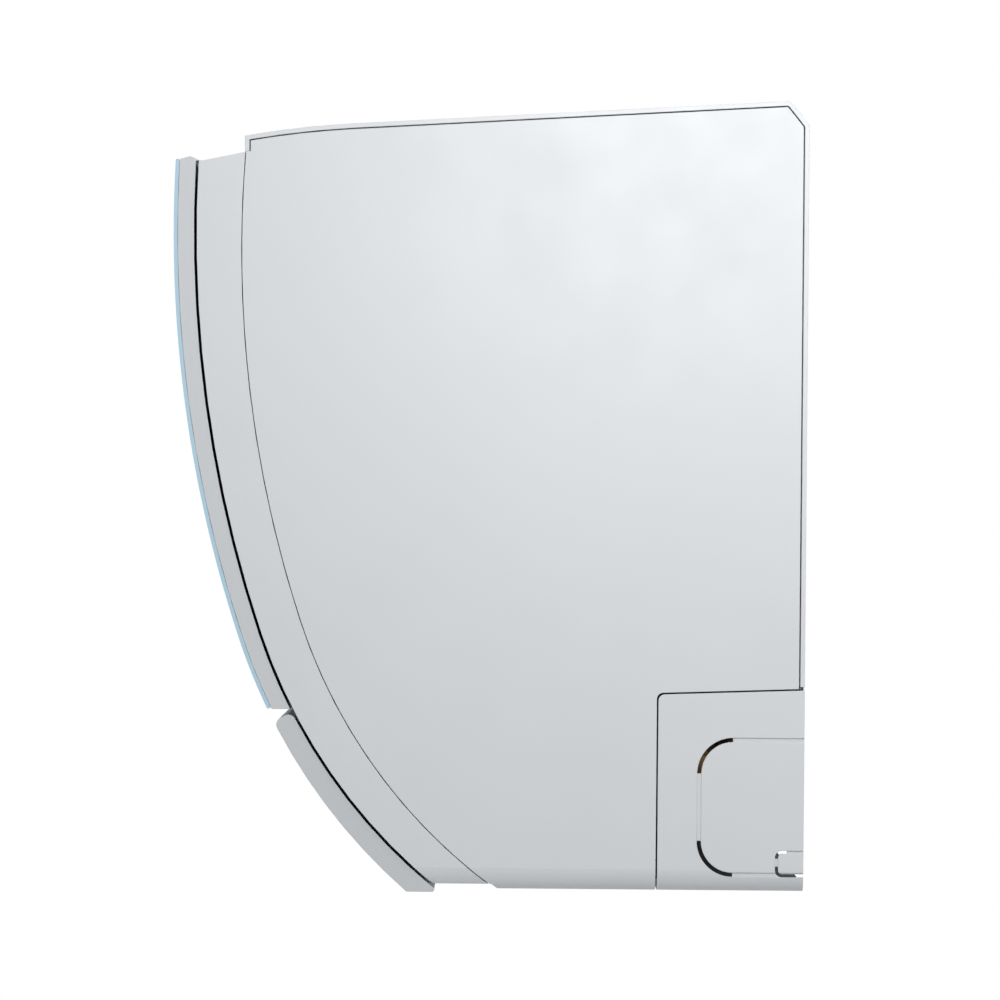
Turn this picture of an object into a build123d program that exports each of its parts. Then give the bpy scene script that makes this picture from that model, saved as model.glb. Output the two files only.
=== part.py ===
from build123d import *

import os
from math import asin, cos, degrees, hypot, radians, sin, sqrt

# Wall-mounted indoor unit of a split air conditioner.
#
# Millimetres. X runs along the unit, -Y points into the room and +Z is up. Everything is modelled with Z
# counted from the underside of the casing and with Y = 0 on the wall. The export moves it down by
# ORIGIN_HEIGHT, so the frame's origin is the middle of the mounting plate's wall side.


# ---------------------------------------------------------------- casing outline
WIDTH = 870.0
HEIGHT = 298.0
FACE_DEPTH = 231.5  # wall to the frame's front face
CHIN_RADIUS = 207.9
CHIN_CENTRE_HEIGHT = 163.0
FACE_CENTRE_DROP = 47.6  # the face is most forward this far below the top
TURN_ANGLE = 18.9  # below the horizontal, where face arc and chin arc meet
WALL = 2.5
REAR_GAP = 0.8  # the casing stops this far from the wall

FRAME_TOP = HEIGHT - 24.6
FRAME_STEP_HEIGHT = HEIGHT - 21.0
TOP_FRONT_Y = -FACE_DEPTH + 17.9
TOP_FRONT_DROP = 14.8
TOP_BEND_Y = -FACE_DEPTH + 57.5
TOP_BEND_DROP = 9.9
TOP_REAR_Y = -8.0
REAR_CHAMFER = 9.0
TOP_SKIN = 1.7
TOP_GROOVE = 0.5
FRAME_BASE = 1.9  # the frame's underside sits this much above the casing's
FRAME_BASE_FRONT = -137.6
BASE_STEP_Y = -118.4
BASE_STEP_RUN = 2.4
BOTTOM_ROUND = 8.0
FRAME_CORNER_ROUND = 5.0

SEAM_CHIN_RADIUS = 203.2
SEAM_BEHIND_FACE = 17.0
SEAM_CENTRE_DROP = 54.2
SEAM_CHIN_HEIGHT = 165.27
SEAM_TURN_ANGLE = 18.46
SEAM_GAP = 0.35

# ---------------------------------------------------------------- front panel and flap
SKIN_GAP = 1.1  # panel and flap stand this far off the frame
SKIN_OUTER = 8.7
PANEL_CLEAR = 1.5  # clear skin over the carrier
PANEL_TOP = HEIGHT - 22.7
PANEL_SHOULDER_DROP = 1.6
PANEL_SHOULDER_Y = -FACE_DEPTH - 2.7
PANEL_HOOK_Y = -FACE_DEPTH + 0.5
PANEL_HOOK_DROP = 1.3
PANEL_BOTTOM = 67.2
PANEL_WALL = 2.3
PANEL_RIM = 4.0
PANEL_SIDE_INSET = 0.6
HINGE_Y = -FACE_DEPTH - 0.4
HINGE_HEIGHT = HEIGHT - 24.1
HINGE_INSET = 60.0
HINGE_PIN_RADIUS = 1.0
KNUCKLE_RADIUS = 2.0
KNUCKLE_HALF = 5.0
EAR_WIDTH = 5.0
HINGE_PLAY = 0.4
FLAP_TOP = 66.1
FLAP_BOTTOM = -1.2
FLAP_TOP_ROUND = 3.0
FLAP_EDGE_ROUND = 0.8
FLAP_SIDE_INSET = 0.8
FLAP_WALL = 2.0
FLAP_RIM = 3.5
FLAP_PIVOT_Y = -124.0
FLAP_PIVOT_HEIGHT = 10.5
FLAP_PIN_RADIUS = 2.0
FLAP_HUB_RADIUS = 4.0
FLAP_ARM_WIDTH = 4.0
FLAP_ARM_INSET = 15.0  # left arm, from the duct's left end
FLAP_ARM_OFFSET = 8.0  # driven arm, outside the duct's right end
FLAP_ARM_REACH = 30.0
EAR_THICKNESS = 2.5

# ---------------------------------------------------------------- pipe corner
CORNER_FRONT_Y = -56.5
CORNER_TOP_FRONT = 74.5
CORNER_TOP_REAR = 76.5
CORNER_ROUND = 2.5
CORNER_GAP = 0.6
CORNER_REACH = 40.0  # how far the corner piece runs in from the side
KNOCKOUT_FRONT_Y = -41.1
KNOCKOUT_TOP = 57.8
KNOCKOUT_BOTTOM = 5.4
KNOCKOUT_ROUND = 13.5
SLIT = 1.6
GROOVE_DEPTH = 0.6
HATCH_FRONT_Y = -11.5
HATCH_TOP = 15.4
HATCH_ROUND = 2.6
HATCH_SLIT = 1.2

# ---------------------------------------------------------------- air path
FLOOR_Y = -67.782  # where the scroll runs on into the duct floor
FLOOR_HEIGHT = 76.186
FAN_RADIUS = 50.0
FAN_HUB_RADIUS = 10.0
FAN_BLADES = 35
FAN_CELLS = 6
BLADE_DEPTH = 12.0
SHAFT_RADIUS = 4.0
SCROLL_START_GAP = 6.0
SCROLL_WIDENING = 9.65
SCROLL_START_ANGLE = 50.0
DUCT_SLOPE = 45.0
FLOOR_END_Y = -127.0
SHEET = 2.2  # wall of chassis and duct
DUCT_LEFT_MARGIN = 45.0
SERVICE_BAY = 173.0
OUTLET_TOP = 66.0
TONGUE_GAP = 4.0
TONGUE_ANGLE = 215.0
VANES = 4  # in each of the two banks
VANE_CHORD = 38.0
VANE_LEAD = 0.3  # share of the chord that lies upstream of the pivot
VANE_HEIGHT = 50.0
VANE_THICKNESS = 1.8
VANE_PIN_RADIUS = 2.0
VANE_Y = -118.0
RAIL_THICKNESS = 4.0
RAIL_HALF = 4.0
FOOT_GAP = 0.5
LINK_ARM = 13.0
LINK_PIN_RADIUS = 1.2
LINK_PLAY = 0.35
LINK_RISE = 1.9  # how far a link pin moves along the duct over the vane's swing
VANE_MOTOR_RADIUS = 11.0
VANE_MOTOR_LENGTH = 9.0
RUNNING = 0.05  # radial clearance of a pin in its hole

# ---------------------------------------------------------------- fan motor
MOTOR_RADIUS = 38.0
MOTOR_LENGTH = 68.0
MOTOR_START = 16.0  # from the duct's right end
BOSS_RADIUS = 14.0
BOSS_LENGTH = 8.0
MOUNT_RADIUS = 20.0
CRADLE_WIDTH = 6.0
CLAMP_RADIUS = 42.0
CLAMP_SHEET = 2.0

# ---------------------------------------------------------------- heat exchanger
COIL_DEPTH = 26.0
COIL_CORNERS = [(-62.0, -26.0), (-81.0, None), (-11.0, None), (49.0, 42.0)]  # inner face, from the fan's axis
COIL_KNEE_DROP = 93.0
COIL_RIDGE_DROP = 55.0
COIL_MARGIN = 5.0
TUBE_RADIUS = 3.5
TUBE_COUNTS = (5, 4, 4)
TUBE_ROWS = (19.5, 6.5)
TUBE_STUB = 6.0
TUBE_FIT = 0.02
END_PLATE = 1.2
GAS_RADIUS = 4.76
LIQUID_RADIUS = 3.175
GAS_HEIGHT = 44.0
LIQUID_HEIGHT = 27.0
PIPE_Y = -24.0
GAS_DROP_X = 30.0
LIQUID_DROP_X = 48.0
GAS_END = -90.0
LIQUID_END = -60.0
NUT_LENGTH = 20.0
NUT_BORE_LENGTH = 14.0
FLARE_LENGTH = 2.5
GAS_NUT_FLATS = 22.0
GAS_THREAD_RADIUS = 7.3
LIQUID_NUT_FLATS = 17.0
LIQUID_THREAD_RADIUS = 5.1

# ---------------------------------------------------------------- chassis and wall plate
CHANNEL_TOP = 61.5
CHANNEL_FRONT = -50.0
POCKET_MARGIN = 150.0  # pocket for the wall plate, from each end
POCKET_BOTTOM = 72.0
POCKET_TOP = HEIGHT - 34.0
POCKET_DEPTH = 8.0
BACK_TOP_DROP = 22.0
PLATE = 1.5
PLATE_MARGIN = 5.0
PLATE_FOOT = 6.0
SCREW_INSET = 60.0  # wall screws, from the plate's ends
SCREW_SPACING_Z = 140.0
SCREW_HOLE_RADIUS = 2.7
HOOK_X = 150.0
HOOK_HALF = 15.0
HOOK_REACH = 6.5
SPIGOT_RADIUS = 8.0
SPIGOT_BORE = 6.0
SPIGOT_LENGTH = 22.0
SPIGOT_X = -270.0
SPIGOT_Y = -28.0
SPIGOT_HEIGHT = 22.0

# ---------------------------------------------------------------- grille, filters, service bay
GRILLE_MARGIN = 26.0
GRILLE_FRONT = -186.0
GRILLE_REAR = -26.0
GRILLE_BAR = 2.4
GRILLE_SLOT = 6.6
GRILLE_RIB = 6.0
GRILLE_RIBS = 9
FLANGE_REACH = 12.0
SIDE_REACH = 25.0
OPENING_BOTTOM = 97.0
OPENING_TOP = HEIGHT - 36.0
OPENING_INSET = 22.0
FILTER_FRONT = 6.2
FILTER_BACK = 9.0
FILTER_RIM = 7.0
FILTER_RIB = 2.0
FILTER_GAP = 4.0
FILTER_RIB_COLUMNS = 6
FILTER_RIB_ROWS = 3
NET = 0.8
GUIDE = 3.2
BUTTON_INSET = 105.0  # manual button, from the right end
BUTTON_HEIGHT = 150.0
BUTTON_RADIUS = 5.0
BUTTON_PLAY = 0.3
WINDOW_HEIGHT = 186.0
WINDOW_WIDTH = 46.0
WINDOW_TALL = 12.0
CASING_SCREW_Y = -127.0
CASING_SCREW_INSET = 34.0
CASING_SCREW_RADIUS = 1.75
SCREW_HEAD_RADIUS = 3.4
SCREW_HEAD = 2.2
CAP_RADIUS = 4.0
CAP = 1.2
CAP_FIT = 0.1
BOX_START = 98.0  # control box, from the duct's right end
BOX_FRONT_Y = -186.0
BOX_REAR_Y = -112.0
BOX_LOW = 100.0
BOX_HIGH = 214.0
BOX_WALL = 2.0

# ---------------------------------------------------------------- derived places
FACE_CENTRE_HEIGHT = HEIGHT - FACE_CENTRE_DROP
FACE_RADIUS = CHIN_RADIUS + (FACE_CENTRE_HEIGHT - CHIN_CENTRE_HEIGHT) / sin(radians(TURN_ANGLE))
FACE_CENTRE_Y = FACE_RADIUS - FACE_DEPTH
CHIN_CENTRE_Y = FACE_CENTRE_Y - (FACE_RADIUS - CHIN_RADIUS) * cos(radians(TURN_ANGLE))
SEAM_CENTRE_HEIGHT = HEIGHT - SEAM_CENTRE_DROP
SEAM_RUN = (SEAM_CENTRE_HEIGHT - SEAM_CHIN_HEIGHT) / sin(radians(SEAM_TURN_ANGLE))
SEAM_FACE_RADIUS = SEAM_CHIN_RADIUS + SEAM_RUN
SEAM_CENTRE_Y = -FACE_DEPTH + SEAM_BEHIND_FACE + SEAM_FACE_RADIUS
SEAM_CHIN_Y = SEAM_CENTRE_Y - SEAM_RUN * cos(radians(SEAM_TURN_ANGLE))
HALF = WIDTH / 2
DUCT_LEFT = -HALF + DUCT_LEFT_MARGIN
DUCT_RIGHT = HALF - SERVICE_BAY
SCROLL_RADIUS = FAN_RADIUS + SCROLL_START_GAP + SCROLL_WIDENING
SLOPE_SIN = sin(radians(DUCT_SLOPE))
SLOPE_COS = cos(radians(DUCT_SLOPE))
FLOW = (0, -SLOPE_COS, -SLOPE_SIN)  # the way the air leaves along the duct floor
FLOOR_UP = (0, -SLOPE_SIN, SLOPE_COS)
SCROLL_Y = FLOOR_Y - SCROLL_RADIUS * SLOPE_SIN
SCROLL_HEIGHT = FLOOR_HEIGHT + SCROLL_RADIUS * SLOPE_COS
FAN_Y = SCROLL_Y + SCROLL_WIDENING * cos(radians(SCROLL_START_ANGLE))
FAN_HEIGHT = SCROLL_HEIGHT + SCROLL_WIDENING * sin(radians(SCROLL_START_ANGLE))
BACK_FRONT = -REAR_GAP - SHEET  # front of the chassis's back wall around the pocket
CHASSIS_HALF = HALF - FLANGE_REACH - 0.5
POCKET_FRONT = -REAR_GAP - POCKET_DEPTH
POCKET_HALF = HALF - POCKET_MARGIN
PLATE_HALF = POCKET_HALF - PLATE_MARGIN
SCREW_SPACING_X = 2 * (PLATE_HALF - SCREW_INSET)
PLATE_BOTTOM = POCKET_BOTTOM + PLATE_FOOT
PLATE_TOP = POCKET_TOP - PLATE_FOOT
ORIGIN_HEIGHT = (PLATE_BOTTOM + PLATE_TOP) / 2
PANEL_BACK_FACE = SKIN_OUTER - PANEL_CLEAR
COIL_LEFT = DUCT_LEFT + COIL_MARGIN
COIL_RIGHT = DUCT_RIGHT - COIL_MARGIN
MOTOR_X = DUCT_RIGHT + MOTOR_START
BOX_X = DUCT_RIGHT + BOX_START
ARM_STATIONS = (
    DUCT_LEFT + FLAP_ARM_INSET,
    (DUCT_LEFT + DUCT_RIGHT) / 2,
    DUCT_RIGHT + FLAP_ARM_OFFSET + FLAP_ARM_WIDTH / 2,
)
HINGE_STATIONS = (-HALF + HINGE_INSET, HALF - HINGE_INSET)
SCREW_STATIONS = (-HALF + CASING_SCREW_INSET, DUCT_RIGHT + 60.0, HALF - CASING_SCREW_INSET)
VANE_PITCH = (DUCT_RIGHT - DUCT_LEFT) / (2 * VANES)


# ================================================================ helpers
def prism(shape, start, end):
    """A shape drawn as (y, z) pairs, drawn out along X from start to end."""
    return extrude(Plane.YZ.offset(start) * shape, amount=end - start)


def face_of(*pairs):
    """A flat face inside a closed polygon of (y, z) pairs."""
    return make_face(Polyline(*pairs, close=True))


def box(x, y, z):
    """A box from three (low, high) pairs."""
    size = [high - low for low, high in (x, y, z)]
    middle = [(high + low) / 2 for low, high in (x, y, z)]
    return Pos(*middle) * Box(*size)


def rod(radius, start, end, y, z):
    """A round bar along X."""
    return Location((start, y, z), (0, 90, 0)) * Cylinder(
        radius, end - start, align=(Align.CENTER, Align.CENTER, Align.MIN)
    )


def mirrored(shape):
    """The same shape at the other end of the unit."""
    return mirror(shape, Plane.YZ)


def polar(centre_y, centre_z, radius, angle):
    """A point at an angle from +Y towards +Z, in degrees."""
    return centre_y + radius * cos(radians(angle)), centre_z + radius * sin(radians(angle))


def front_point(angle, out):
    """A point on the front outline, by the angle of its normal below the horizontal, moved out by out."""
    if angle <= TURN_ANGLE:
        return polar(FACE_CENTRE_Y, FACE_CENTRE_HEIGHT, FACE_RADIUS + out, 180 + angle)
    return polar(CHIN_CENTRE_Y, CHIN_CENTRE_HEIGHT, CHIN_RADIUS + out, 180 + angle)


def front_angle(height, out):
    """The angle at which the outline, moved out by out, is at this height."""
    angle = degrees(asin((FACE_CENTRE_HEIGHT - height) / (FACE_RADIUS + out)))
    if angle <= TURN_ANGLE:
        return angle
    return degrees(asin((CHIN_CENTRE_HEIGHT - height) / (CHIN_RADIUS + out)))


def front_arcs(high, low, out):
    """The outline's arcs from the angle high down to the angle low."""
    stops = [high, TURN_ANGLE, low] if high < TURN_ANGLE < low else [high, low]
    return [
        ThreePointArc(front_point(a, out), front_point((a + b) / 2, out), front_point(b, out))
        for a, b in zip(stops, stops[1:])
    ]


def front_band(high, low, inner, outer):
    """The strip between two offsets of the outline, from the angle high down to the angle low."""
    ends = [
        Line(front_point(high, inner), front_point(high, outer)),
        Line(front_point(low, inner), front_point(low, outer)),
    ]
    return make_face(front_arcs(high, low, inner) + front_arcs(high, low, outer) + ends)


def level_band(top, bottom, inner, outer):
    """The same strip, cut off level at two heights."""
    margin = 3.0
    strip = front_band(front_angle(top, inner) - margin, front_angle(bottom, inner) + margin, inner, outer)
    return strip & Pos(-FACE_DEPTH, (top + bottom) / 2) * Rectangle(2 * FACE_DEPTH, top - bottom)


def front_plane(angle, out, x=0.0):
    """A plane on the outline with its normal pointing out and its x axis along the unit."""
    y, z = front_point(angle, out)
    return Plane(
        origin=(x, y, z), x_dir=(1, 0, 0), z_dir=(0, -cos(radians(angle)), -sin(radians(angle)))
    )


def seam_edge(shift):
    """The seam between frame and side cover as arcs, moved towards the front by shift."""
    top = -degrees(asin((HEIGHT + 10 - SEAM_CENTRE_HEIGHT) / SEAM_FACE_RADIUS))
    end = SEAM_TURN_ANGLE + 42.0
    upper = [
        polar(SEAM_CENTRE_Y, SEAM_CENTRE_HEIGHT, SEAM_FACE_RADIUS + shift, 180 + a)
        for a in (top, 0, SEAM_TURN_ANGLE)
    ]
    lower = [
        polar(SEAM_CHIN_Y, SEAM_CHIN_HEIGHT, SEAM_CHIN_RADIUS + shift, 180 + a)
        for a in (SEAM_TURN_ANGLE, (SEAM_TURN_ANGLE + end) / 2, end)
    ]
    return [ThreePointArc(*upper), ThreePointArc(*lower)], upper[0], lower[-1]


def ahead_of_seam(shift):
    """Everything in the room side of the seam."""
    arcs, top, low = seam_edge(shift)
    far_y, low_z = -2 * FACE_DEPTH, -40.0
    border = Polyline(low, (low[0], low_z), (far_y, low_z), (far_y, top[1]), top)
    return make_face(arcs + border.edges())


def envelope(inset):
    """The front view's outline with its rounded bottom edges, drawn through the whole depth."""
    low, high = inset, HEIGHT + 5.0
    outline = Pos(0, (low + high) / 2) * Rectangle(WIDTH - 2 * inset, high - low)
    bottom = outline.vertices().sort_by(Axis.Y)[:2]
    outline = fillet(bottom, BOTTOM_ROUND - inset)
    return extrude(Plane.XZ.offset(-10.0) * outline, amount=2 * FACE_DEPTH)


def casing_profile(inset):
    """The casing's side view, all its walls moved in by inset."""
    top = front_angle(FRAME_TOP, 0)
    low = front_angle(FRAME_BASE, 0)
    step_front = (TOP_FRONT_Y, FRAME_STEP_HEIGHT)
    lip = (TOP_FRONT_Y, HEIGHT - TOP_FRONT_DROP)
    bend = (TOP_BEND_Y, HEIGHT - TOP_BEND_DROP)
    ridge = (TOP_REAR_Y, HEIGHT)
    sagitta_mid = ((lip[0] + bend[0]) / 2, (lip[1] + bend[1]) / 2 + 0.6)
    base_front = front_point(low, 0)
    outline = [
        *front_arcs(top, low, 0),
        Line(base_front, (BASE_STEP_Y, FRAME_BASE)),
        Line((BASE_STEP_Y, FRAME_BASE), (BASE_STEP_Y + BASE_STEP_RUN, 0)),
        Line((BASE_STEP_Y + BASE_STEP_RUN, 0), (-REAR_GAP, 0)),
        Line((-REAR_GAP, 0), (-REAR_GAP, HEIGHT - REAR_CHAMFER)),
        Line((-REAR_GAP, HEIGHT - REAR_CHAMFER), ridge),
        Line(ridge, bend),
        ThreePointArc(bend, sagitta_mid, lip),
        Line(lip, step_front),
        Line(step_front, front_point(top, 0)),
    ]
    profile = make_face(outline)
    corner = [v for v in profile.vertices() if hypot(v.X - base_front[0], v.Y - base_front[1]) < 0.01]
    profile = fillet(corner, FRAME_CORNER_ROUND)
    rear = [v for v in profile.vertices() if v.Y > HEIGHT - REAR_CHAMFER - 0.01]
    profile = fillet(rear, 3.0)
    return offset(profile, amount=-inset, kind=Kind.INTERSECTION) if inset else profile


OUTER = prism(casing_profile(0), -HALF, HALF) & envelope(0)
CAVITY = prism(casing_profile(WALL), -HALF + WALL, HALF - WALL) & envelope(WALL)
WHOLE_SHELL = OUTER - CAVITY


def inner_y(height, inset):
    """How far forward the front outline is at this height, moved in by inset."""
    return front_point(front_angle(height, -inset), -inset)[0]


def floor_height(y):
    """The duct floor's height at this depth."""
    return FLOOR_HEIGHT + (y - FLOOR_Y) * SLOPE_SIN / SLOPE_COS


def on_floor(y, along, up):
    """A (y, z) point from the floor at y, moved along the flow and up off the floor."""
    return y + along * FLOW[1] + up * FLOOR_UP[1], floor_height(y) + along * FLOW[2] + up * FLOOR_UP[2]


def floor_plane(x, along=0.0, up=0.0):
    """A plane on the duct floor at the vane pivots, with its normal up off the floor."""
    y, z = on_floor(VANE_Y, along, up)
    return Plane(origin=(x, y, z), x_dir=(1, 0, 0), z_dir=FLOOR_UP)


def pin(plane, radius, start, end):
    """A round bar along a plane's normal."""
    return plane.offset(start) * Cylinder(radius, end - start, align=(Align.CENTER, Align.CENTER, Align.MIN))


def in_profile(plane):
    """A plane across X through another plane's origin, its x axis along the flow and y up off the floor."""
    return Plane(origin=plane.origin, x_dir=FLOW, z_dir=(-1, 0, 0))


def single(shape):
    """The one solid that a shape should be."""
    solids = shape.solids()
    if len(solids) != 1:
        raise ValueError(f"{len(solids)} solids where one was meant")
    return solids[0]


# ================================================================ casing
def top_band(groove):
    """The top shell's strip along the top and rear edges of the side view, with the groove under it."""
    ring = casing_profile(0) - casing_profile(TOP_SKIN + groove)
    foot = CORNER_TOP_REAR if groove else CORNER_TOP_REAR + CORNER_GAP
    upper = face_of(
        (TOP_FRONT_Y - 1, FRAME_STEP_HEIGHT + SEAM_GAP),
        (TOP_FRONT_Y - 1, HEIGHT + 5),
        (5, HEIGHT + 5),
        (5, foot),
        (-20, foot),
        (-20, FRAME_STEP_HEIGHT + SEAM_GAP),
    )
    return ring & upper


def top_shell():
    """Top of the casing with the intake grille and, at each end, a flange down the rear edge."""
    band = top_band(0)
    upper = band & Pos(-FACE_DEPTH / 2, HEIGHT) * Rectangle(2 * FACE_DEPTH, 2 * (HEIGHT - FRAME_STEP_HEIGHT))
    shell = prism(upper, -HALF, HALF)
    flange = band & Pos(0, HEIGHT / 2) * Rectangle(40, HEIGHT)
    for low, high in ((-HALF, -HALF + FLANGE_REACH), (HALF - FLANGE_REACH, HALF)):
        shell += prism(flange, low, high)
    grille = box(
        (-HALF + GRILLE_MARGIN, HALF - GRILLE_MARGIN), (GRILLE_FRONT, GRILLE_REAR), (HEIGHT - 40, HEIGHT + 5)
    )
    rib_profile = (casing_profile(0) - casing_profile(TOP_SKIN + GRILLE_RIB)) & Pos(
        (GRILLE_FRONT + GRILLE_REAR) / 2, HEIGHT
    ) * Rectangle(GRILLE_REAR - GRILLE_FRONT, 80)
    length = WIDTH - 2 * GRILLE_MARGIN
    bars = []
    pitch = GRILLE_BAR + GRILLE_SLOT
    count = int((GRILLE_REAR - GRILLE_FRONT) / pitch)
    bar_profile = casing_profile(0) - casing_profile(TOP_SKIN + 1.5)
    for i in range(1, count + 1):
        y = GRILLE_FRONT + i * pitch - GRILLE_BAR / 2
        strip = bar_profile & Pos(y, HEIGHT) * Rectangle(GRILLE_BAR, 80)
        bars.append(prism(strip, -length / 2, length / 2))
    for i in range(GRILLE_RIBS):
        x = -length / 2 + (i + 0.5) * length / GRILLE_RIBS
        bars.append(prism(rib_profile, x - 1, x + 1))
    return single(shell - grille + bars)


def side_cover(sign):
    """Side wall behind the seam, with a return under the casing."""
    profile = casing_profile(0) - top_band(TOP_GROOVE)
    profile -= ahead_of_seam(-SEAM_GAP / 2)
    wall = prism(profile, HALF - WALL, HALF) & envelope(0)
    turned = WHOLE_SHELL & box((HALF - SIDE_REACH, HALF), (-FACE_DEPTH, CORNER_FRONT_Y), (-1, 20))
    turned -= prism(ahead_of_seam(-SEAM_GAP / 2), HALF - 50, HALF + 1)
    cover = wall + turned - prism(corner_region(0), HALF - 60, HALF + 1)
    return single(cover if sign > 0 else mirrored(cover))


def corner_region(gap):
    """The pipe corner in the side view, drawn in by gap."""
    rear_top = (10, CORNER_TOP_REAR + 0.35 - gap)
    front_top = (CORNER_FRONT_Y + gap, CORNER_TOP_FRONT - gap)
    region = face_of(front_top, rear_top, (10, -10), (CORNER_FRONT_Y + gap, -10))
    corner = [v for v in region.vertices() if v.X < CORNER_FRONT_Y + 2 and v.Y > 0]
    return fillet(corner, CORNER_ROUND)


def knockout_outline(inset):
    """The break-out panel's D shape, open to the rear, drawn in by inset."""
    region = Pos((KNOCKOUT_FRONT_Y + 30) / 2, (KNOCKOUT_TOP + KNOCKOUT_BOTTOM) / 2) * Rectangle(
        30 - KNOCKOUT_FRONT_Y - 2 * inset, KNOCKOUT_TOP - KNOCKOUT_BOTTOM - 2 * inset
    )
    return fillet(region.vertices().group_by(Axis.X)[0], KNOCKOUT_ROUND - inset)


def hatch_outline(inset):
    """The small break-out at the rear of the larger one, drawn in by inset."""
    region = Pos((HATCH_FRONT_Y + 30) / 2, (HATCH_TOP + KNOCKOUT_BOTTOM) / 2) * Rectangle(
        30 - HATCH_FRONT_Y - 2 * inset, HATCH_TOP - KNOCKOUT_BOTTOM - 2 * inset
    )
    return fillet(region.vertices().group_by(Axis.X)[0], HATCH_ROUND - inset)


def corner_cover(sign):
    """Removable pipe corner: side wall and underside with the break-out panels scored into it."""
    open_rear = OUTER - (CAVITY + box((-HALF + WALL, HALF - WALL), (-20, 5), (WALL, HEIGHT - 30)))
    cover = open_rear & prism(corner_region(CORNER_GAP), HALF - CORNER_REACH, HALF + 1)
    ring = knockout_outline(0) - knockout_outline(SLIT)
    small = hatch_outline(0) - hatch_outline(HATCH_SLIT)
    groove = prism(ring + small, HALF - GROOVE_DEPTH, HALF + 1)
    rounds = Pos(KNOCKOUT_FRONT_Y, KNOCKOUT_TOP) * Rectangle(2 * KNOCKOUT_ROUND, 2 * KNOCKOUT_ROUND)
    rounds += Pos(KNOCKOUT_FRONT_Y, KNOCKOUT_BOTTOM) * Rectangle(2 * KNOCKOUT_ROUND, 2 * KNOCKOUT_ROUND)
    small_rounds = Pos(HATCH_FRONT_Y, HATCH_TOP) * Rectangle(9, 6)
    small_rounds += Pos(HATCH_FRONT_Y + 3, KNOCKOUT_BOTTOM) * Rectangle(16, 8)
    slits = prism((ring & rounds) + (small & small_rounds), HALF - 2 * WALL, HALF + 1)
    cover -= slits
    cover -= groove
    return single(cover if sign > 0 else mirrored(cover))


def ear_disc(radius, start, end):
    """A disc about the front panel's hinge line."""
    return rod(radius, start, end, HINGE_Y, HINGE_HEIGHT)


def front_frame():
    """Front of the casing: cheeks, filter opening, air outlet, hinge ears, flap ears and screw bosses."""
    region = ahead_of_seam(SEAM_GAP / 2) & Pos(-FACE_DEPTH, 0) * Rectangle(
        2 * FACE_DEPTH, 2 * FRAME_STEP_HEIGHT
    )
    keep = prism(region, -HALF - 1, HALF + 1)
    frame = WHOLE_SHELL & keep
    frame -= box(
        (-HALF + OPENING_INSET, DUCT_RIGHT),
        (-FACE_DEPTH - 10, -FACE_DEPTH + 60),
        (OPENING_BOTTOM, OPENING_TOP),
    )
    frame -= prism(
        face_of(
            on_floor(VANE_Y, -30, 0),
            on_floor(VANE_Y, 60, 0),
            (-FACE_DEPTH - 10, OUTLET_TOP - 30),
            (inner_y(OUTLET_TOP, WALL) - 20, OUTLET_TOP),
            (inner_y(OUTLET_TOP, WALL) + 12, OUTLET_TOP),
        ),
        DUCT_LEFT,
        DUCT_RIGHT,
    )
    lip = face_of(
        (FLOOR_END_Y - 0.3, floor_height(FLOOR_END_Y - 0.3)),
        (FLOOR_END_Y - 0.3 + SHEET * SLOPE_SIN, floor_height(FLOOR_END_Y - 0.3) - SHEET * SLOPE_COS),
        (FLOOR_END_Y - 9.0, FRAME_BASE + 0.5),
        (FRAME_BASE_FRONT + 1.0, FRAME_BASE + 2.0),
        on_floor(FRAME_BASE_FRONT + 0.5, 0, 0),
    )
    frame += prism(lip, DUCT_LEFT, DUCT_RIGHT)
    for station in (-HALF + OPENING_INSET - GUIDE, (DUCT_LEFT + DUCT_RIGHT) / 2 - 10 - GUIDE / 2, DUCT_RIGHT):
        guide = level_band(OPENING_TOP + 4, OPENING_BOTTOM - 1, -FILTER_FRONT + 0.4, -WALL + 0.5)
        frame += prism(guide, station, station + GUIDE)
    for station in ARM_STATIONS:
        frame -= arm_slot(station)
        frame += flap_ears(station)
    for station in HINGE_STATIONS:
        knuckle_reach = KNUCKLE_HALF + 0.4
        frame -= ear_disc(KNUCKLE_RADIUS + HINGE_PLAY, station - knuckle_reach, station + knuckle_reach)
        for side in (-1, 1):
            frame += hinge_ear(station + side * (KNUCKLE_HALF + 0.4 + EAR_WIDTH / 2))
        frame -= ear_disc(HINGE_PIN_RADIUS + RUNNING, station - 20, station + 20)
    for station in SCREW_STATIONS:
        frame += pin(Plane((station, CASING_SCREW_Y, FRAME_BASE)), SCREW_HEAD_RADIUS + 2.2, 0.5, 7.0)
    for station in SCREW_STATIONS:
        base = Plane((station, CASING_SCREW_Y, FRAME_BASE))
        frame -= pin(base, CAP_RADIUS + CAP_FIT, -1, CAP)
        frame -= pin(base, SCREW_HEAD_RADIUS + 0.3, 0, CAP + SCREW_HEAD + 0.4)
        frame -= pin(base, CASING_SCREW_RADIUS + 0.3, 0, 20)
    frame -= pin(button_plane(0), BUTTON_RADIUS + BUTTON_PLAY, -20, 10)
    frame -= window_block(0, 20, 0.1)
    return single(frame)


def hinge_ear(x):
    """One ear of a front panel hinge, with a neck back into the frame's top edge."""
    neck = make_face(
        Polyline(
            (HINGE_Y - 0.2, HINGE_HEIGHT + KNUCKLE_RADIUS - 0.4),
            (HINGE_Y + 4.5, HINGE_HEIGHT + 0.9),
            (HINGE_Y + 4.5, HINGE_HEIGHT - 3.0),
            (HINGE_Y + 0.6, HINGE_HEIGHT - 3.0),
            close=True,
        )
    )
    ear = prism(neck, x - EAR_WIDTH / 2, x + EAR_WIDTH / 2)
    return ear + ear_disc(KNUCKLE_RADIUS, x - EAR_WIDTH / 2, x + EAR_WIDTH / 2)


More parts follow.
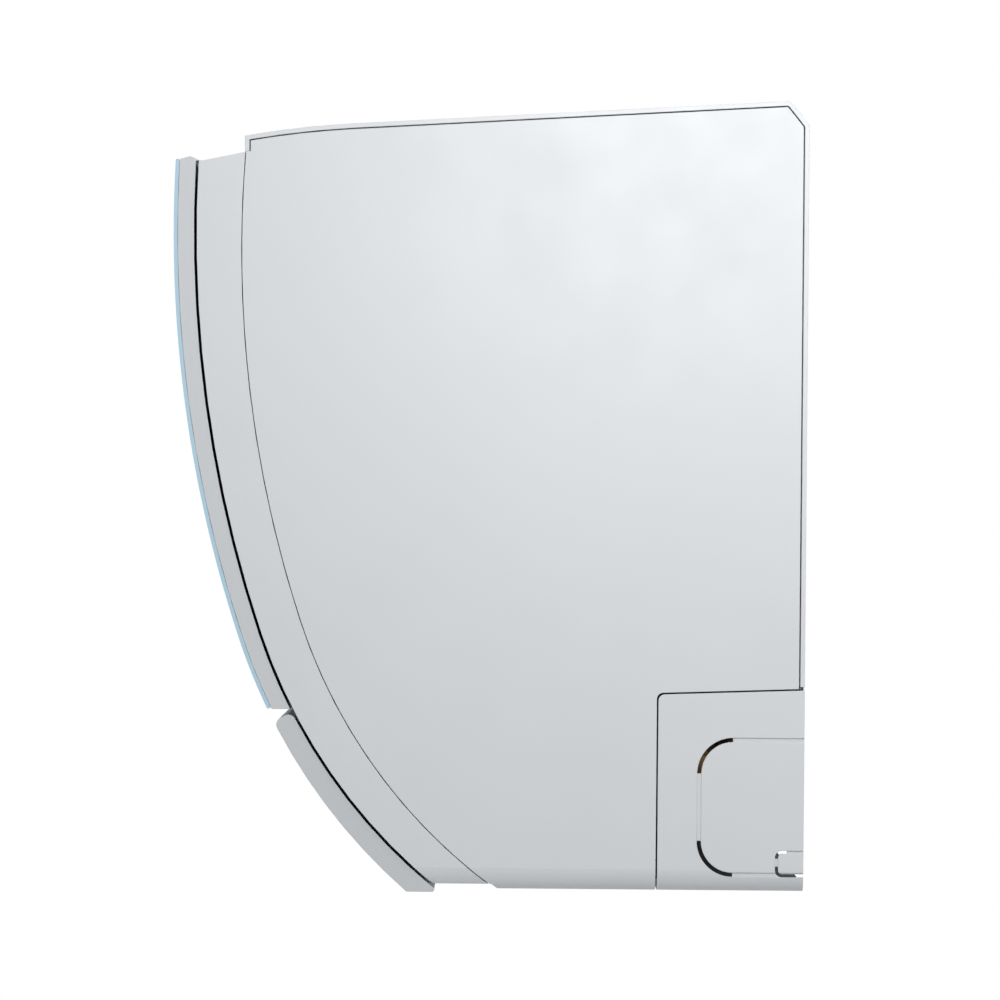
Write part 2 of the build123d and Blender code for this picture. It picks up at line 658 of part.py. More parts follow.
def flap_ears(station):
    """Two ears on the frame's underside, one each side of a flap arm, bridged behind the arm's hub."""
    rear, front = FLAP_PIVOT_Y + FLAP_HUB_RADIUS, FLAP_PIVOT_Y - FLAP_HUB_RADIUS
    bridge_low = FLAP_PIVOT_HEIGHT + FLAP_HUB_RADIUS + 0.6
    bridge = [(FLAP_PIVOT_Y - 0.2, bridge_low), (rear, bridge_low), (rear, bridge_low + 4.0)]
    foot = [(front, FRAME_BASE + 0.5), (rear, FRAME_BASE + 0.5), (rear, bridge_low + 0.2)]
    outline = face_of(*foot, (FLAP_PIVOT_Y, bridge_low + 0.2), (front, FLAP_PIVOT_HEIGHT))
    inner = FLAP_ARM_WIDTH / 2 + 0.6
    ears = prism(face_of(*bridge), station - inner - EAR_THICKNESS, station + inner + EAR_THICKNESS)
    for low in (station - inner - EAR_THICKNESS, station + inner):
        ears += prism(outline, low, low + EAR_THICKNESS)
    bore = rod(FLAP_PIN_RADIUS + RUNNING, station - 20, station + 20, FLAP_PIVOT_Y, FLAP_PIVOT_HEIGHT)
    return ears - bore


def arm_slot(station):
    """The way through the underside that a flap arm swings in."""
    half = FLAP_ARM_WIDTH / 2 + 0.6
    return box((station - half, station + half), (-185, -98), (-10, 40))


def button_plane(out):
    """The frame's face at the manual button, its normal pointing out."""
    return front_plane(front_angle(BUTTON_HEIGHT, 0), out, HALF - BUTTON_INSET)


def manual_button():
    """Round emergency run button with a flange behind the frame's face."""
    plane = button_plane(0)
    button = pin(plane, BUTTON_RADIUS, -WALL - 2.0, -0.2)
    button += pin(plane, BUTTON_RADIUS + 1.5, -WALL - 2.5, -WALL - 0.3)
    return single(button)


def window_block(start, end, spare):
    """A block through the frame's face at the display window."""
    plane = front_plane(front_angle(WINDOW_HEIGHT, 0), 0, HALF - BUTTON_INSET)
    wide, tall = WINDOW_WIDTH + 2 * spare, WINDOW_TALL + 2 * spare
    size = Box(wide, tall, end + 20 - start, align=(Align.CENTER, Align.CENTER, Align.MIN))
    return plane.offset(-20) * size if start == 0 else plane.offset(start) * size


def display_window():
    """Smoked window with a flange behind the frame's face."""
    plane = front_plane(front_angle(WINDOW_HEIGHT, 0), 0, HALF - BUTTON_INSET)
    up = (Align.CENTER, Align.CENTER, Align.MIN)
    window = plane.offset(-WALL - 1.7) * Box(WINDOW_WIDTH, WINDOW_TALL, WALL + 1.6, align=up)
    window += plane.offset(-WALL - 1.7) * Box(WINDOW_WIDTH + 4, WINDOW_TALL + 4, 1.2, align=up)
    return single(window)


def display_board():
    """Small circuit board with the indicator lamps, the digit block and the remote receiver."""
    plane = front_plane(front_angle(WINDOW_HEIGHT, 0), -WALL - 9.0, HALF - BUTTON_INSET)
    up = (Align.CENTER, Align.CENTER, Align.MIN)
    board = plane * Box(WINDOW_WIDTH + 24, WINDOW_TALL + 14, 1.6, align=up)
    board += plane.offset(1.6) * Pos(-8, 0) * Box(22, 9, 4.0, align=up)
    for x in (9, 14, 19):
        board += plane.offset(1.6) * Pos(x, 2.5) * Cylinder(1.5, 4.0, align=up)
    board += plane.offset(1.6) * Pos(15, -4) * Box(7, 5, 3.0, align=up)
    return single(board)


# ================================================================ front panel and flap
def panel_carrier():
    """Rear moulding of the front panel, hollow from behind, with its hinge knuckles and pins."""
    top = front_angle(PANEL_TOP + 4, 0)
    clip = face_of(
        (-FACE_DEPTH - 12, PANEL_BOTTOM),
        (-FACE_DEPTH - 12, PANEL_TOP - PANEL_SHOULDER_DROP - 1.0),
        (-FACE_DEPTH - 8.3, PANEL_TOP - PANEL_SHOULDER_DROP),
        (PANEL_SHOULDER_Y, PANEL_TOP),
        (PANEL_HOOK_Y, PANEL_TOP - PANEL_HOOK_DROP),
        (PANEL_HOOK_Y, PANEL_BOTTOM),
    )
    full = face_of(
        (-FACE_DEPTH - 12, PANEL_BOTTOM),
        (-FACE_DEPTH - 12, PANEL_TOP + 20),
        (60, PANEL_TOP + 20),
        (60, PANEL_BOTTOM),
    )
    low = front_angle(PANEL_BOTTOM, 0) + 4
    body = front_band(top, low, SKIN_GAP, PANEL_BACK_FACE)
    hook = face_of(
        (HINGE_Y - 1.2, HINGE_HEIGHT - 0.25),
        (PANEL_HOOK_Y, HINGE_HEIGHT - 0.25),
        (PANEL_HOOK_Y, PANEL_TOP + 1),
        (HINGE_Y - 1.2, PANEL_TOP + 1),
    )
    upper = Pos(-FACE_DEPTH, HEIGHT) * Rectangle(40, 2 * (HEIGHT - PANEL_TOP + 40))
    profile = ((body + hook) & clip & upper) + ((body & full) - upper)
    half = HALF - PANEL_SIDE_INSET
    carrier = prism(profile, -half, half)
    pocket = level_band(PANEL_TOP - 12, PANEL_BOTTOM + PANEL_RIM, SKIN_GAP - 3, PANEL_BACK_FACE - PANEL_WALL)
    columns = 6
    cell = 2 * (half - PANEL_RIM) / columns
    for i in range(columns):
        start = -half + PANEL_RIM + i * cell
        carrier -= prism(pocket, start + 1, start + cell - 1)
    for station in HINGE_STATIONS:
        outer = KNUCKLE_HALF + 0.4 + EAR_WIDTH + 0.4
        for low_x, high_x in ((-outer, -KNUCKLE_HALF), (KNUCKLE_HALF, outer)):
            carrier -= ear_disc(KNUCKLE_RADIUS + HINGE_PLAY, station + low_x, station + high_x)
            swept = box(
                (station + low_x, station + high_x),
                (HINGE_Y, HINGE_Y + 3),
                (HINGE_HEIGHT - 3, HINGE_HEIGHT + 3),
            )
            carrier -= swept
        carrier += ear_disc(KNUCKLE_RADIUS, station - KNUCKLE_HALF, station + KNUCKLE_HALF)
        carrier += ear_disc(HINGE_PIN_RADIUS, station - outer + 0.1, station + outer - 0.1)
    return single(carrier)


def panel_skin():
    """Clear sheet over the front of the panel carrier."""
    clip = face_of(
        (-FACE_DEPTH - 20, PANEL_BOTTOM),
        (-FACE_DEPTH - 20, PANEL_TOP - PANEL_SHOULDER_DROP),
        (-FACE_DEPTH - 8.3, PANEL_TOP - PANEL_SHOULDER_DROP),
        (-FACE_DEPTH - 8.3 + 3.5, PANEL_TOP - PANEL_SHOULDER_DROP + 1.0),
        (60, PANEL_TOP),
        (60, PANEL_BOTTOM),
    )
    low = front_angle(PANEL_BOTTOM, 0) + 4
    band = front_band(front_angle(PANEL_TOP + 4, 0), low, PANEL_BACK_FACE, SKIN_OUTER) & clip
    half = HALF - PANEL_SIDE_INSET
    return single(prism(band, -half, half))


def flap_profile():
    """Side view of the flap: a thick curved strip, rounded at its top edge."""
    high = front_angle(FLAP_TOP, SKIN_GAP)
    low = front_angle(FLAP_BOTTOM, SKIN_GAP) + 6
    band = front_band(high, low, SKIN_GAP, SKIN_OUTER)
    ends = [front_point(high, SKIN_GAP), front_point(high, SKIN_OUTER)]
    corners = [v for v in band.vertices() if min(hypot(v.X - y, v.Y - z) for y, z in ends) < 0.01]
    band = fillet(corners, FLAP_TOP_ROUND)
    band &= Pos(-FACE_DEPTH, FLAP_BOTTOM + 100) * Rectangle(2 * FACE_DEPTH, 200)
    base = [v for v in band.vertices() if abs(v.Y - FLAP_BOTTOM) < 0.01]
    return fillet(base, FLAP_EDGE_ROUND)


def flap_outer():
    """Outer moulding of the air flap."""
    half = HALF - FLAP_SIDE_INSET
    flap = prism(flap_profile(), -half, half)
    hollow = front_band(
        front_angle(FLAP_TOP - 8, SKIN_GAP),
        front_angle(FLAP_BOTTOM + 11, SKIN_GAP),
        SKIN_GAP - 3,
        SKIN_OUTER - FLAP_WALL,
    )
    return single(flap - prism(hollow, -half + FLAP_RIM, half - FLAP_RIM))


def flap_inner():
    """Inner plate of the air flap with the three arms and their pins."""
    half = HALF - FLAP_SIDE_INSET - FLAP_RIM - 0.1
    high = front_angle(FLAP_TOP - 8, SKIN_GAP) + 0.05
    low = front_angle(FLAP_BOTTOM + 11, SKIN_GAP) - 0.05
    plate = prism(front_band(high, low, SKIN_GAP, SKIN_GAP + FLAP_WALL), -half, half)
    for share in (0.25, 0.75):
        angle = high + (low - high) * share
        rib = front_band(angle - 0.3, angle + 0.3, SKIN_GAP + 0.5, SKIN_OUTER - FLAP_WALL - 0.1)
        plate += prism(rib, -half, half)
    root_low = front_point(low - 0.4, SKIN_GAP + 0.8)
    root_high = front_point(low - FLAP_ARM_REACH / CHIN_RADIUS * 57.3, SKIN_GAP + 0.8)
    hub = Pos(FLAP_PIVOT_Y, FLAP_PIVOT_HEIGHT) * Circle(FLAP_HUB_RADIUS)
    arm = make_hull((hub + face_of(root_low, root_high, (root_low[0] + 0.5, root_low[1]))).edges())
    for station in ARM_STATIONS:
        plate += prism(arm, station - FLAP_ARM_WIDTH / 2, station + FLAP_ARM_WIDTH / 2)
        reach = FLAP_ARM_WIDTH / 2 + 0.6 + EAR_THICKNESS
        plate += rod(FLAP_PIN_RADIUS, station - reach, station + reach, FLAP_PIVOT_Y, FLAP_PIVOT_HEIGHT)
    drive = ARM_STATIONS[-1] + FLAP_ARM_WIDTH / 2 + EAR_THICKNESS + 0.6
    plate += rod(FLAP_PIN_RADIUS, drive - 1, drive + 8, FLAP_PIVOT_Y, FLAP_PIVOT_HEIGHT)
    return single(plate)


def flap_motor():
    """Stepper motor with an offset output boss that takes the flap's drive pin."""
    start = ARM_STATIONS[-1] + FLAP_ARM_WIDTH / 2 + EAR_THICKNESS + 1.2
    y, z = FLAP_PIVOT_Y + 13.0, FLAP_PIVOT_HEIGHT + 11.5
    motor = rod(14.0, start + 4, start + 22, y, z)
    boss = Pos(FLAP_PIVOT_Y, FLAP_PIVOT_HEIGHT) * Circle(FLAP_HUB_RADIUS)
    link = make_hull((boss + Pos(y, z) * Circle(9)).edges())
    motor += prism(link, start, start + 12)
    motor -= rod(FLAP_PIN_RADIUS + RUNNING, start - 1, start + 9, FLAP_PIVOT_Y, FLAP_PIVOT_HEIGHT)
    return single(motor)


# ================================================================ chassis and air path
def towards_fan(point, distance):
    """A (y, z) point moved towards the fan's axis."""
    dy, dz = FAN_Y - point[0], FAN_HEIGHT - point[1]
    length = hypot(dy, dz)
    return point[0] + dy * distance / length, point[1] + dz * distance / length


def coil_corners():
    """The four corners of the heat exchanger's inner face, front low end first."""
    heights = [FAN_HEIGHT - 26.0, HEIGHT - COIL_KNEE_DROP, HEIGHT - COIL_RIDGE_DROP, FAN_HEIGHT + 42.0]
    return [(FAN_Y + corner[0], height) for corner, height in zip(COIL_CORNERS, heights)]


def tongue_tip():
    """The stabiliser's edge beside the fan, where the duct's upper wall starts."""
    return polar(FAN_Y, FAN_HEIGHT, FAN_RADIUS + TONGUE_GAP, TONGUE_ANGLE)


def chassis_floor():
    """Scroll behind the fan and the duct floor that runs on from it, as one bent sheet."""
    start, end = SCROLL_START_ANGLE, DUCT_SLOPE - 90.0
    middle = (start + end) / 2
    inner = [polar(SCROLL_Y, SCROLL_HEIGHT, SCROLL_RADIUS, a) for a in (start, middle, end)]
    outer = [polar(SCROLL_Y, SCROLL_HEIGHT, SCROLL_RADIUS + SHEET, a) for a in (start, middle, end)]
    lip = (FLOOR_END_Y, floor_height(FLOOR_END_Y))
    under = (FLOOR_END_Y + SHEET * SLOPE_SIN, lip[1] - SHEET * SLOPE_COS)
    return make_face(
        [
            ThreePointArc(*inner),
            Line(inner[2], lip),
            Line(lip, under),
            Line(under, outer[2]),
            ThreePointArc(*outer),
            Line(outer[0], inner[0]),
        ]
    )


def cheek_outline():
    """End wall of the air path: everything inside the heat exchanger down to the outlet."""
    corners = [towards_fan(c, 2.0) for c in coil_corners()]
    front = [(inner_y(z, 4.0), z) for z in (OUTLET_TOP, 40.0, 20.0)]
    return face_of(
        (BACK_FRONT + 0.5, CHANNEL_TOP),
        (BACK_FRONT + 0.5, corners[3][1] - 6),
        *reversed(corners),
        (tongue_tip()[0] - 8, tongue_tip()[1]),
        *front,
        (FLOOR_END_Y, floor_height(FLOOR_END_Y) - 1),
        (FLOOR_Y, FLOOR_HEIGHT - SHEET - 1),
    )


def rear_chassis():
    """Back wall, pipe channel, scroll, duct floor with vane rails, end walls and motor cradle."""
    back = box((-CHASSIS_HALF, CHASSIS_HALF), (BACK_FRONT, -REAR_GAP), (CHANNEL_TOP, HEIGHT - BACK_TOP_DROP))
    back += box(
        (-POCKET_HALF - SHEET, POCKET_HALF + SHEET),
        (POCKET_FRONT - SHEET, -REAR_GAP),
        (POCKET_BOTTOM - SHEET, POCKET_TOP + SHEET),
    )
    pocket = box((-POCKET_HALF, POCKET_HALF), (POCKET_FRONT, 1), (POCKET_BOTTOM, POCKET_TOP))
    back -= pocket
    for x in (-HOOK_X, HOOK_X):
        catch_low = PLATE_TOP + 1.0
        half = HOOK_HALF + 3
        back += box((x - half, x + half), (-REAR_GAP - 3.4, -REAR_GAP), (catch_low, POCKET_TOP + 1))
    inner_half = HALF - CORNER_REACH - 0.5
    parts = [
        box(
            (-inner_half, inner_half),
            (CHANNEL_FRONT - SHEET, BACK_FRONT + 0.5),
            (CHANNEL_TOP, CHANNEL_TOP + SHEET),
        ),
        box((-inner_half, inner_half), (CHANNEL_FRONT - SHEET, CHANNEL_FRONT), (0, CHANNEL_TOP + 1)),
    ]
    seam_rear = seam_base_y() + SEAM_GAP
    parts.append(box((-inner_half, inner_half), (seam_rear, -REAR_GAP), (0, WALL)))
    wide = HALF - SIDE_REACH - 0.5
    parts.append(box((-wide, wide), (seam_rear, CORNER_FRONT_Y - 0.6), (0, WALL)))
    parts.append(prism(chassis_floor(), DUCT_LEFT, DUCT_RIGHT))
    shelf_height = FAN_HEIGHT + 26.0
    shelf_y = SCROLL_Y + sqrt((SCROLL_RADIUS + SHEET / 2) ** 2 - (shelf_height - SCROLL_HEIGHT) ** 2)
    shelf = (shelf_height, shelf_height + SHEET)
    parts.append(box((DUCT_LEFT, DUCT_RIGHT), (shelf_y, BACK_FRONT + 0.5), shelf))
    for low in (DUCT_LEFT - SHEET, DUCT_RIGHT):
        parts.append(prism(cheek_outline(), low, low + SHEET))
    y, z = on_floor(VANE_Y, 0, 0)
    rail = in_profile(Plane((0, y, z))) * Pos(0, RAIL_THICKNESS / 2 - 0.25) * Rectangle(
        2 * RAIL_HALF, RAIL_THICKNESS + 0.5
    )
    parts.append(extrude(rail, amount=DUCT_RIGHT, dir=(1, 0, 0)))
    parts.append(extrude(rail, amount=-DUCT_LEFT, dir=(-1, 0, 0)))
    for x in cradle_stations():
        parts.append(
            box(
                (x, x + CRADLE_WIDTH),
                (FAN_Y - MOUNT_RADIUS - 4, BACK_FRONT + 0.5),
                (CHANNEL_TOP, FAN_HEIGHT - 0.2),
            )
        )
    for station in SCREW_STATIONS:
        parts.append(
            box(
                (station - 6, station + 6),
                (CASING_SCREW_Y - 6, seam_rear + 12),
                (FRAME_BASE + 7.4, FRAME_BASE + 20),
            )
        )
        parts.append(box((station - 6, station + 6), (seam_rear + 4, seam_rear + 12), (1, FRAME_BASE + 10)))
    spigot_base = box((SPIGOT_X, SPIGOT_X + 8), (CHANNEL_FRONT - 1, SPIGOT_Y + 12), (1, SPIGOT_HEIGHT + 12))
    parts.append(spigot_base)
    parts.append(rod(SPIGOT_RADIUS, SPIGOT_X - SPIGOT_LENGTH, SPIGOT_X + 1, SPIGOT_Y, SPIGOT_HEIGHT))
    chassis = back + [part - pocket for part in parts]
    for x in cradle_stations():
        chassis -= rod(MOUNT_RADIUS + 0.1, x - 0.1, x + CRADLE_WIDTH + 0.1, FAN_Y, FAN_HEIGHT)
    chassis -= rod(BOSS_RADIUS + 1, DUCT_RIGHT - 1, DUCT_RIGHT + SHEET + 1, FAN_Y, FAN_HEIGHT)
    chassis -= rod(BOSS_RADIUS + 0.05, DUCT_LEFT - SHEET - 1, DUCT_LEFT + 1, FAN_Y, FAN_HEIGHT)
    chassis -= rod(SPIGOT_BORE, SPIGOT_X - SPIGOT_LENGTH - 1, SPIGOT_X + 5, SPIGOT_Y, SPIGOT_HEIGHT)
    chassis -= box(
        (DUCT_RIGHT + GAS_DROP_X - 10, DUCT_RIGHT + LIQUID_DROP_X + 10),
        (PIPE_Y - 10, PIPE_Y + 10),
        (CHANNEL_TOP - 1, CHANNEL_TOP + SHEET + 1),
    )
    for _, station, driven in vane_stations():
        depth = RAIL_THICKNESS - FOOT_GAP
        start = -SHEET - 1 if driven else RAIL_THICKNESS - depth
        chassis -= pin(floor_plane(station), VANE_PIN_RADIUS + RUNNING, start, RAIL_THICKNESS + 1)
    for station in ARM_STATIONS:
        half = FLAP_ARM_WIDTH / 2 + 0.6
        chassis -= box((station - half, station + half), (-140, seam_rear + 14), (-5, WALL + 1))
        if DUCT_LEFT < station < DUCT_RIGHT:
            chassis -= box((station - half, station + half), (-140, -98), (-5, FLAP_PIVOT_HEIGHT + 6))
    for station in SCREW_STATIONS:
        base = Plane((station, CASING_SCREW_Y, FRAME_BASE))
        chassis -= pin(base, CASING_SCREW_RADIUS, 5, 17)
    return single(chassis)


def seam_base_y():
    """Where the seam between frame and side cover meets the underside."""
    return SEAM_CHIN_Y - sqrt(SEAM_CHIN_RADIUS**2 - SEAM_CHIN_HEIGHT**2)


def cradle_stations():
    """Where the motor cradle's two ribs start."""
    return (
        MOTOR_X - BOSS_LENGTH + 1,
        MOTOR_X + MOTOR_LENGTH + 1,
    )


def vane_stations():
    """(bank, x, whether the motor drives it) for every vane."""
    left = [DUCT_LEFT + (i + 0.5) * VANE_PITCH for i in range(VANES)]
    right = [DUCT_RIGHT - (i + 0.5) * VANE_PITCH for i in reversed(range(VANES))]
    stations = [("left", x, i == 0) for i, x in enumerate(left)]
    return stations + [("right", x, i == VANES - 1) for i, x in enumerate(right)]


def outlet_duct():
    """Upper wall of the outlet with the front drain pan on top of it."""
    tip = tongue_tip()
    wall_end = (inner_y(OUTLET_TOP, WALL + 0.6), OUTLET_TOP + 1)
    low_z = coil_corners()[0][1]
    front = (inner_y(low_z - 18, WALL + 0.6), low_z - 18)
    rim = (inner_y(low_z - 8, WALL + 2.2), low_z - 8)
    outline = face_of(
        tip,
        wall_end,
        front,
        (rim[0] - 1.0, rim[1]),
        (rim[0] + 1.0, rim[1]),
        (front[0] + 3.0, low_z - 18),
        (FAN_Y - 68.0, low_z - 18),
        (FAN_Y - 58.0, low_z - 3),
        (tip[0] - 4.5, tip[1] + 4.5),
    )
    return single(prism(outline, DUCT_LEFT + 0.3, DUCT_RIGHT - 0.3))


def pan_liner():
    """Foam strip in the drain pan under the front heat exchanger."""
    low_z = coil_corners()[0][1]
    start = inner_y(low_z - 18, WALL + 0.6) + 4.5
    return single(box((DUCT_LEFT + 6, DUCT_RIGHT - 6), (start, FAN_Y - 70.0), (low_z - 17.9, low_z - 14.5)))


def vane_shape(driven):
    """One vertical air vane at the middle of the unit: blade, pivot pin and link pin."""
    lead = VANE_LEAD * VANE_CHORD
    foot = RAIL_THICKNESS + FOOT_GAP
    blade = Pos(VANE_CHORD / 2 - lead, foot + VANE_HEIGHT / 2) * Rectangle(VANE_CHORD, VANE_HEIGHT)
    blade = fillet(blade.vertices().group_by(Axis.Y)[-1], 7.0)
    plane = floor_plane(0)
    vane = extrude(in_profile(plane) * blade, amount=VANE_THICKNESS / 2, both=True)
    deep = -SHEET - 4.0 if driven else FOOT_GAP + 0.4
    vane += pin(plane, VANE_PIN_RADIUS, deep, foot + 6)
    vane += pin(floor_plane(0, LINK_ARM), LINK_PIN_RADIUS, 1.0, foot + 4)
    return single(vane)


def vane_link(bank):
    """Bar that ties one bank's vanes together, slotted round their link pins."""
    stations = [x for name, x, _ in vane_stations() if name == bank]
    slots = []
    for x in stations:
        slot = SlotOverall(
            LINK_RISE + 2 * (LINK_PIN_RADIUS + LINK_PLAY), 2 * (LINK_PIN_RADIUS + LINK_PLAY), rotation=90
        )
        slots.append(Pos(x, LINK_RISE / 2) * slot)
    length = stations[-1] - stations[0] + 16
    middle = (stations[-1] + stations[0]) / 2
    bar = Pos(middle, LINK_RISE / 2) * RectangleRounded(length, 8.0, 3.0)
    shape = bar - slots
    plane = floor_plane(0, LINK_ARM, 1.4)
    return single(extrude(plane * shape, amount=1.6))


def vane_motor(bank):
    """Small stepper motor under the duct floor, coupled to the first vane's pin."""
    station = [x for name, x, driven in vane_stations() if name == bank and driven][0]
    plane = floor_plane(station)
    motor = pin(plane, VANE_MOTOR_RADIUS, -SHEET - 0.6 - VANE_MOTOR_LENGTH, -SHEET - 0.6)
    return single(motor - pin(plane, VANE_PIN_RADIUS + RUNNING, -SHEET - 5.0, 0))


# ================================================================ fan
def fan_rotor():
    """Cross-flow fan: curved blades held by discs, with a stub shaft at the left and a hub at the right."""
    left, right = DUCT_LEFT + 6.0, DUCT_RIGHT - 6.0
    hub_end = FAN_RADIUS - BLADE_DEPTH
    ring = Circle(FAN_RADIUS) - Circle(hub_end)
    rotor = rod(FAN_RADIUS, left, left + 2.5, FAN_Y, FAN_HEIGHT)
    rotor += rod(FAN_RADIUS, right - 2.5, right, FAN_Y, FAN_HEIGHT)
    axis = Pos(FAN_Y, FAN_HEIGHT)
    for i in range(1, FAN_CELLS):
        x = left + i * (right - left) / FAN_CELLS
        rotor += prism(axis * ring, x - 1.0, x + 1.0)
    outer = FAN_RADIUS - 1.0
    blades = []
    for i in range(FAN_BLADES):
        turn = 360.0 * i / FAN_BLADES
        section = make_face(
            Polyline(
                polar(0, 0, hub_end + 0.5, -6 - 0.8),
                polar(0, 0, (hub_end + outer) / 2, -1.6 - 0.6),
                polar(0, 0, outer, 7 - 0.4),
                polar(0, 0, outer, 7 + 0.9),
                polar(0, 0, (hub_end + outer) / 2, -1.6 + 0.9),
                polar(0, 0, hub_end + 0.5, -6 + 0.8),
                close=True,
            )
        )
        blades.append(prism(axis * Rot(0, 0, turn) * section, left + 1, right - 1))
    rotor += blades
    rotor += rod(FAN_HUB_RADIUS, right - 22, right, FAN_Y, FAN_HEIGHT)
    rotor += rod(SHAFT_RADIUS, DUCT_LEFT - 9, left + 1, FAN_Y, FAN_HEIGHT)
    return single(rotor - rod(SHAFT_RADIUS + TUBE_FIT, right - 20, right + 1, FAN_Y, FAN_HEIGHT))


def fan_shaft():
    """Motor shaft into the fan's hub."""
    return single(rod(SHAFT_RADIUS, DUCT_RIGHT - 25, MOTOR_X + 40, FAN_Y, FAN_HEIGHT))


def fan_bearing():
    """Rubber-seated plain bearing in the left end wall."""
    bearing = rod(BOSS_RADIUS, DUCT_LEFT - 8, DUCT_LEFT + 2, FAN_Y, FAN_HEIGHT)
    bearing += rod(BOSS_RADIUS + 4, DUCT_LEFT - 8, DUCT_LEFT - SHEET - 0.1, FAN_Y, FAN_HEIGHT)
    return single(bearing - rod(SHAFT_RADIUS + RUNNING, DUCT_LEFT - 12, DUCT_LEFT + 3, FAN_Y, FAN_HEIGHT))


def fan_motor():
    """Fan motor: a drum with a boss at each end and a bore for the shaft."""
    motor = rod(MOTOR_RADIUS, MOTOR_X, MOTOR_X + MOTOR_LENGTH, FAN_Y, FAN_HEIGHT)
    motor = chamfer(motor.edges().filter_by(GeomType.CIRCLE), 4.0)
    motor += rod(BOSS_RADIUS, MOTOR_X - BOSS_LENGTH, MOTOR_X + MOTOR_LENGTH + BOSS_LENGTH, FAN_Y, FAN_HEIGHT)
    return single(motor - rod(SHAFT_RADIUS + RUNNING, MOTOR_X - 20, MOTOR_X + 42, FAN_Y, FAN_HEIGHT))


def motor_mounts():
    """The two rubber rings that carry the motor."""
    rings = []
    for x in cradle_stations():
        ring = rod(MOUNT_RADIUS, x, x + CRADLE_WIDTH, FAN_Y, FAN_HEIGHT)
        rings.append(ring - rod(BOSS_RADIUS + TUBE_FIT, x - 1, x + CRADLE_WIDTH + 1, FAN_Y, FAN_HEIGHT))
    return Compound(children=[single(r) for r in rings])


def motor_clamp():
    """Cover over the motor that holds its rubber rings down in the cradle."""
    first, last = cradle_stations()
    upper = Pos(FAN_Y, FAN_HEIGHT + 60) * Rectangle(2 * CLAMP_RADIUS + 10, 120)
    axis = Pos(FAN_Y, FAN_HEIGHT)
    arch = (axis * (Circle(CLAMP_RADIUS) - Circle(CLAMP_RADIUS - CLAMP_SHEET))) & upper
    web = (axis * (Circle(CLAMP_RADIUS) - Circle(MOUNT_RADIUS + 0.1))) & upper
    clamp = prism(arch, first, last + CRADLE_WIDTH)
    clamp += prism(web, first + 1, first + 4)
    clamp += prism(web, last + CRADLE_WIDTH - 4, last + CRADLE_WIDTH - 1)
    return single(clamp)


# ================================================================ heat exchanger
def slabs():
    """(start, along, out, length) of the three slabs, all in the side view."""
    corners = coil_corners()
    result = []
    for (y0, z0), (y1, z1) in zip(corners, corners[1:]):
        length = hypot(y1 - y0, z1 - z0)
        along = ((y1 - y0) / length, (z1 - z0) / length)
        out = (-along[1], along[0])
        result.append(((y0, z0), along, out, length))
    return result


def slab_outline(slab):
    """One slab's rectangle in the side view."""
    (y, z), along, out, length = slab
    far_y, far_z = y + along[0] * length, z + along[1] * length
    oy, oz = out[0] * COIL_DEPTH, out[1] * COIL_DEPTH
    return face_of((y, z), (far_y, far_z), (far_y + oy, far_z + oz), (y + oy, z + oz))


def tube_centres():
    """Tube centres in the order the refrigerant runs: down the outer row, back up the inner row."""
    rows = []
    for row, depth in enumerate(TUBE_ROWS):
        centres = []
        for slab, count in zip(slabs(), TUBE_COUNTS):
            (y, z), along, out, length = slab
            pitch = length / count
            for i in range(count):
                step = (i + 0.5) * pitch
                centres.append((y + along[0] * step + out[0] * depth, z + along[1] * step + out[1] * depth))
        rows.append(centres)
    return list(reversed(rows[0])) + rows[1]


def coil_slab(index):
    """One slab of the fin stack, pierced for the tubes."""
    slab = prism(slab_outline(slabs()[index]), COIL_LEFT, COIL_RIGHT)
    holes = [rod(TUBE_RADIUS + TUBE_FIT, COIL_LEFT - 1, COIL_RIGHT + 1, y, z) for y, z in tube_centres()]
    return single(slab - holes)


def coil_tubes():
    """Copper tubes through the fins, joined by return bends into one circuit."""
    left, right = COIL_LEFT - TUBE_STUB, COIL_RIGHT + TUBE_STUB
    centres = tube_centres()
    pieces = [rod(TUBE_RADIUS, left, right, y, z) for y, z in centres]
    for i, (p, q) in enumerate(zip(centres, centres[1:])):
        x = left if i % 2 == 0 else right
        middle = (x, (p[0] + q[0]) / 2, (p[1] + q[1]) / 2)
        across = Vector(0, q[0] - p[0], q[1] - p[1]).normalized()
        turn = Vector(1, 0, 0).cross(across)
        circle = Plane(origin=(x, p[0], p[1]), z_dir=(1, 0, 0)) * Circle(TUBE_RADIUS)
        sweep_way = -180 if x == left else 180
        pieces.append(revolve(circle, axis=Axis(middle, tuple(turn)), revolution_arc=sweep_way))
    return single(pieces[0] + pieces[1:])


def coil_end_plate(side):
    """Sheet end plate that the tubes pass through."""
    inner = coil_corners()
    outer = []
    for (y, z), along, out, length in slabs():
        y, z = y + out[0] * COIL_DEPTH, z + out[1] * COIL_DEPTH
        outer.append((y, z))
        outer.append((y + along[0] * length, z + along[1] * length))
    outline = face_of(*inner, *reversed(outer))
    start = COIL_LEFT - END_PLATE if side == "left" else COIL_RIGHT
    plate = prism(outline, start, start + END_PLATE)
    holes = [rod(TUBE_RADIUS + 0.1, start - 1, start + END_PLATE + 1, y, z) for y, z in tube_centres()]
    return single(plate - holes)


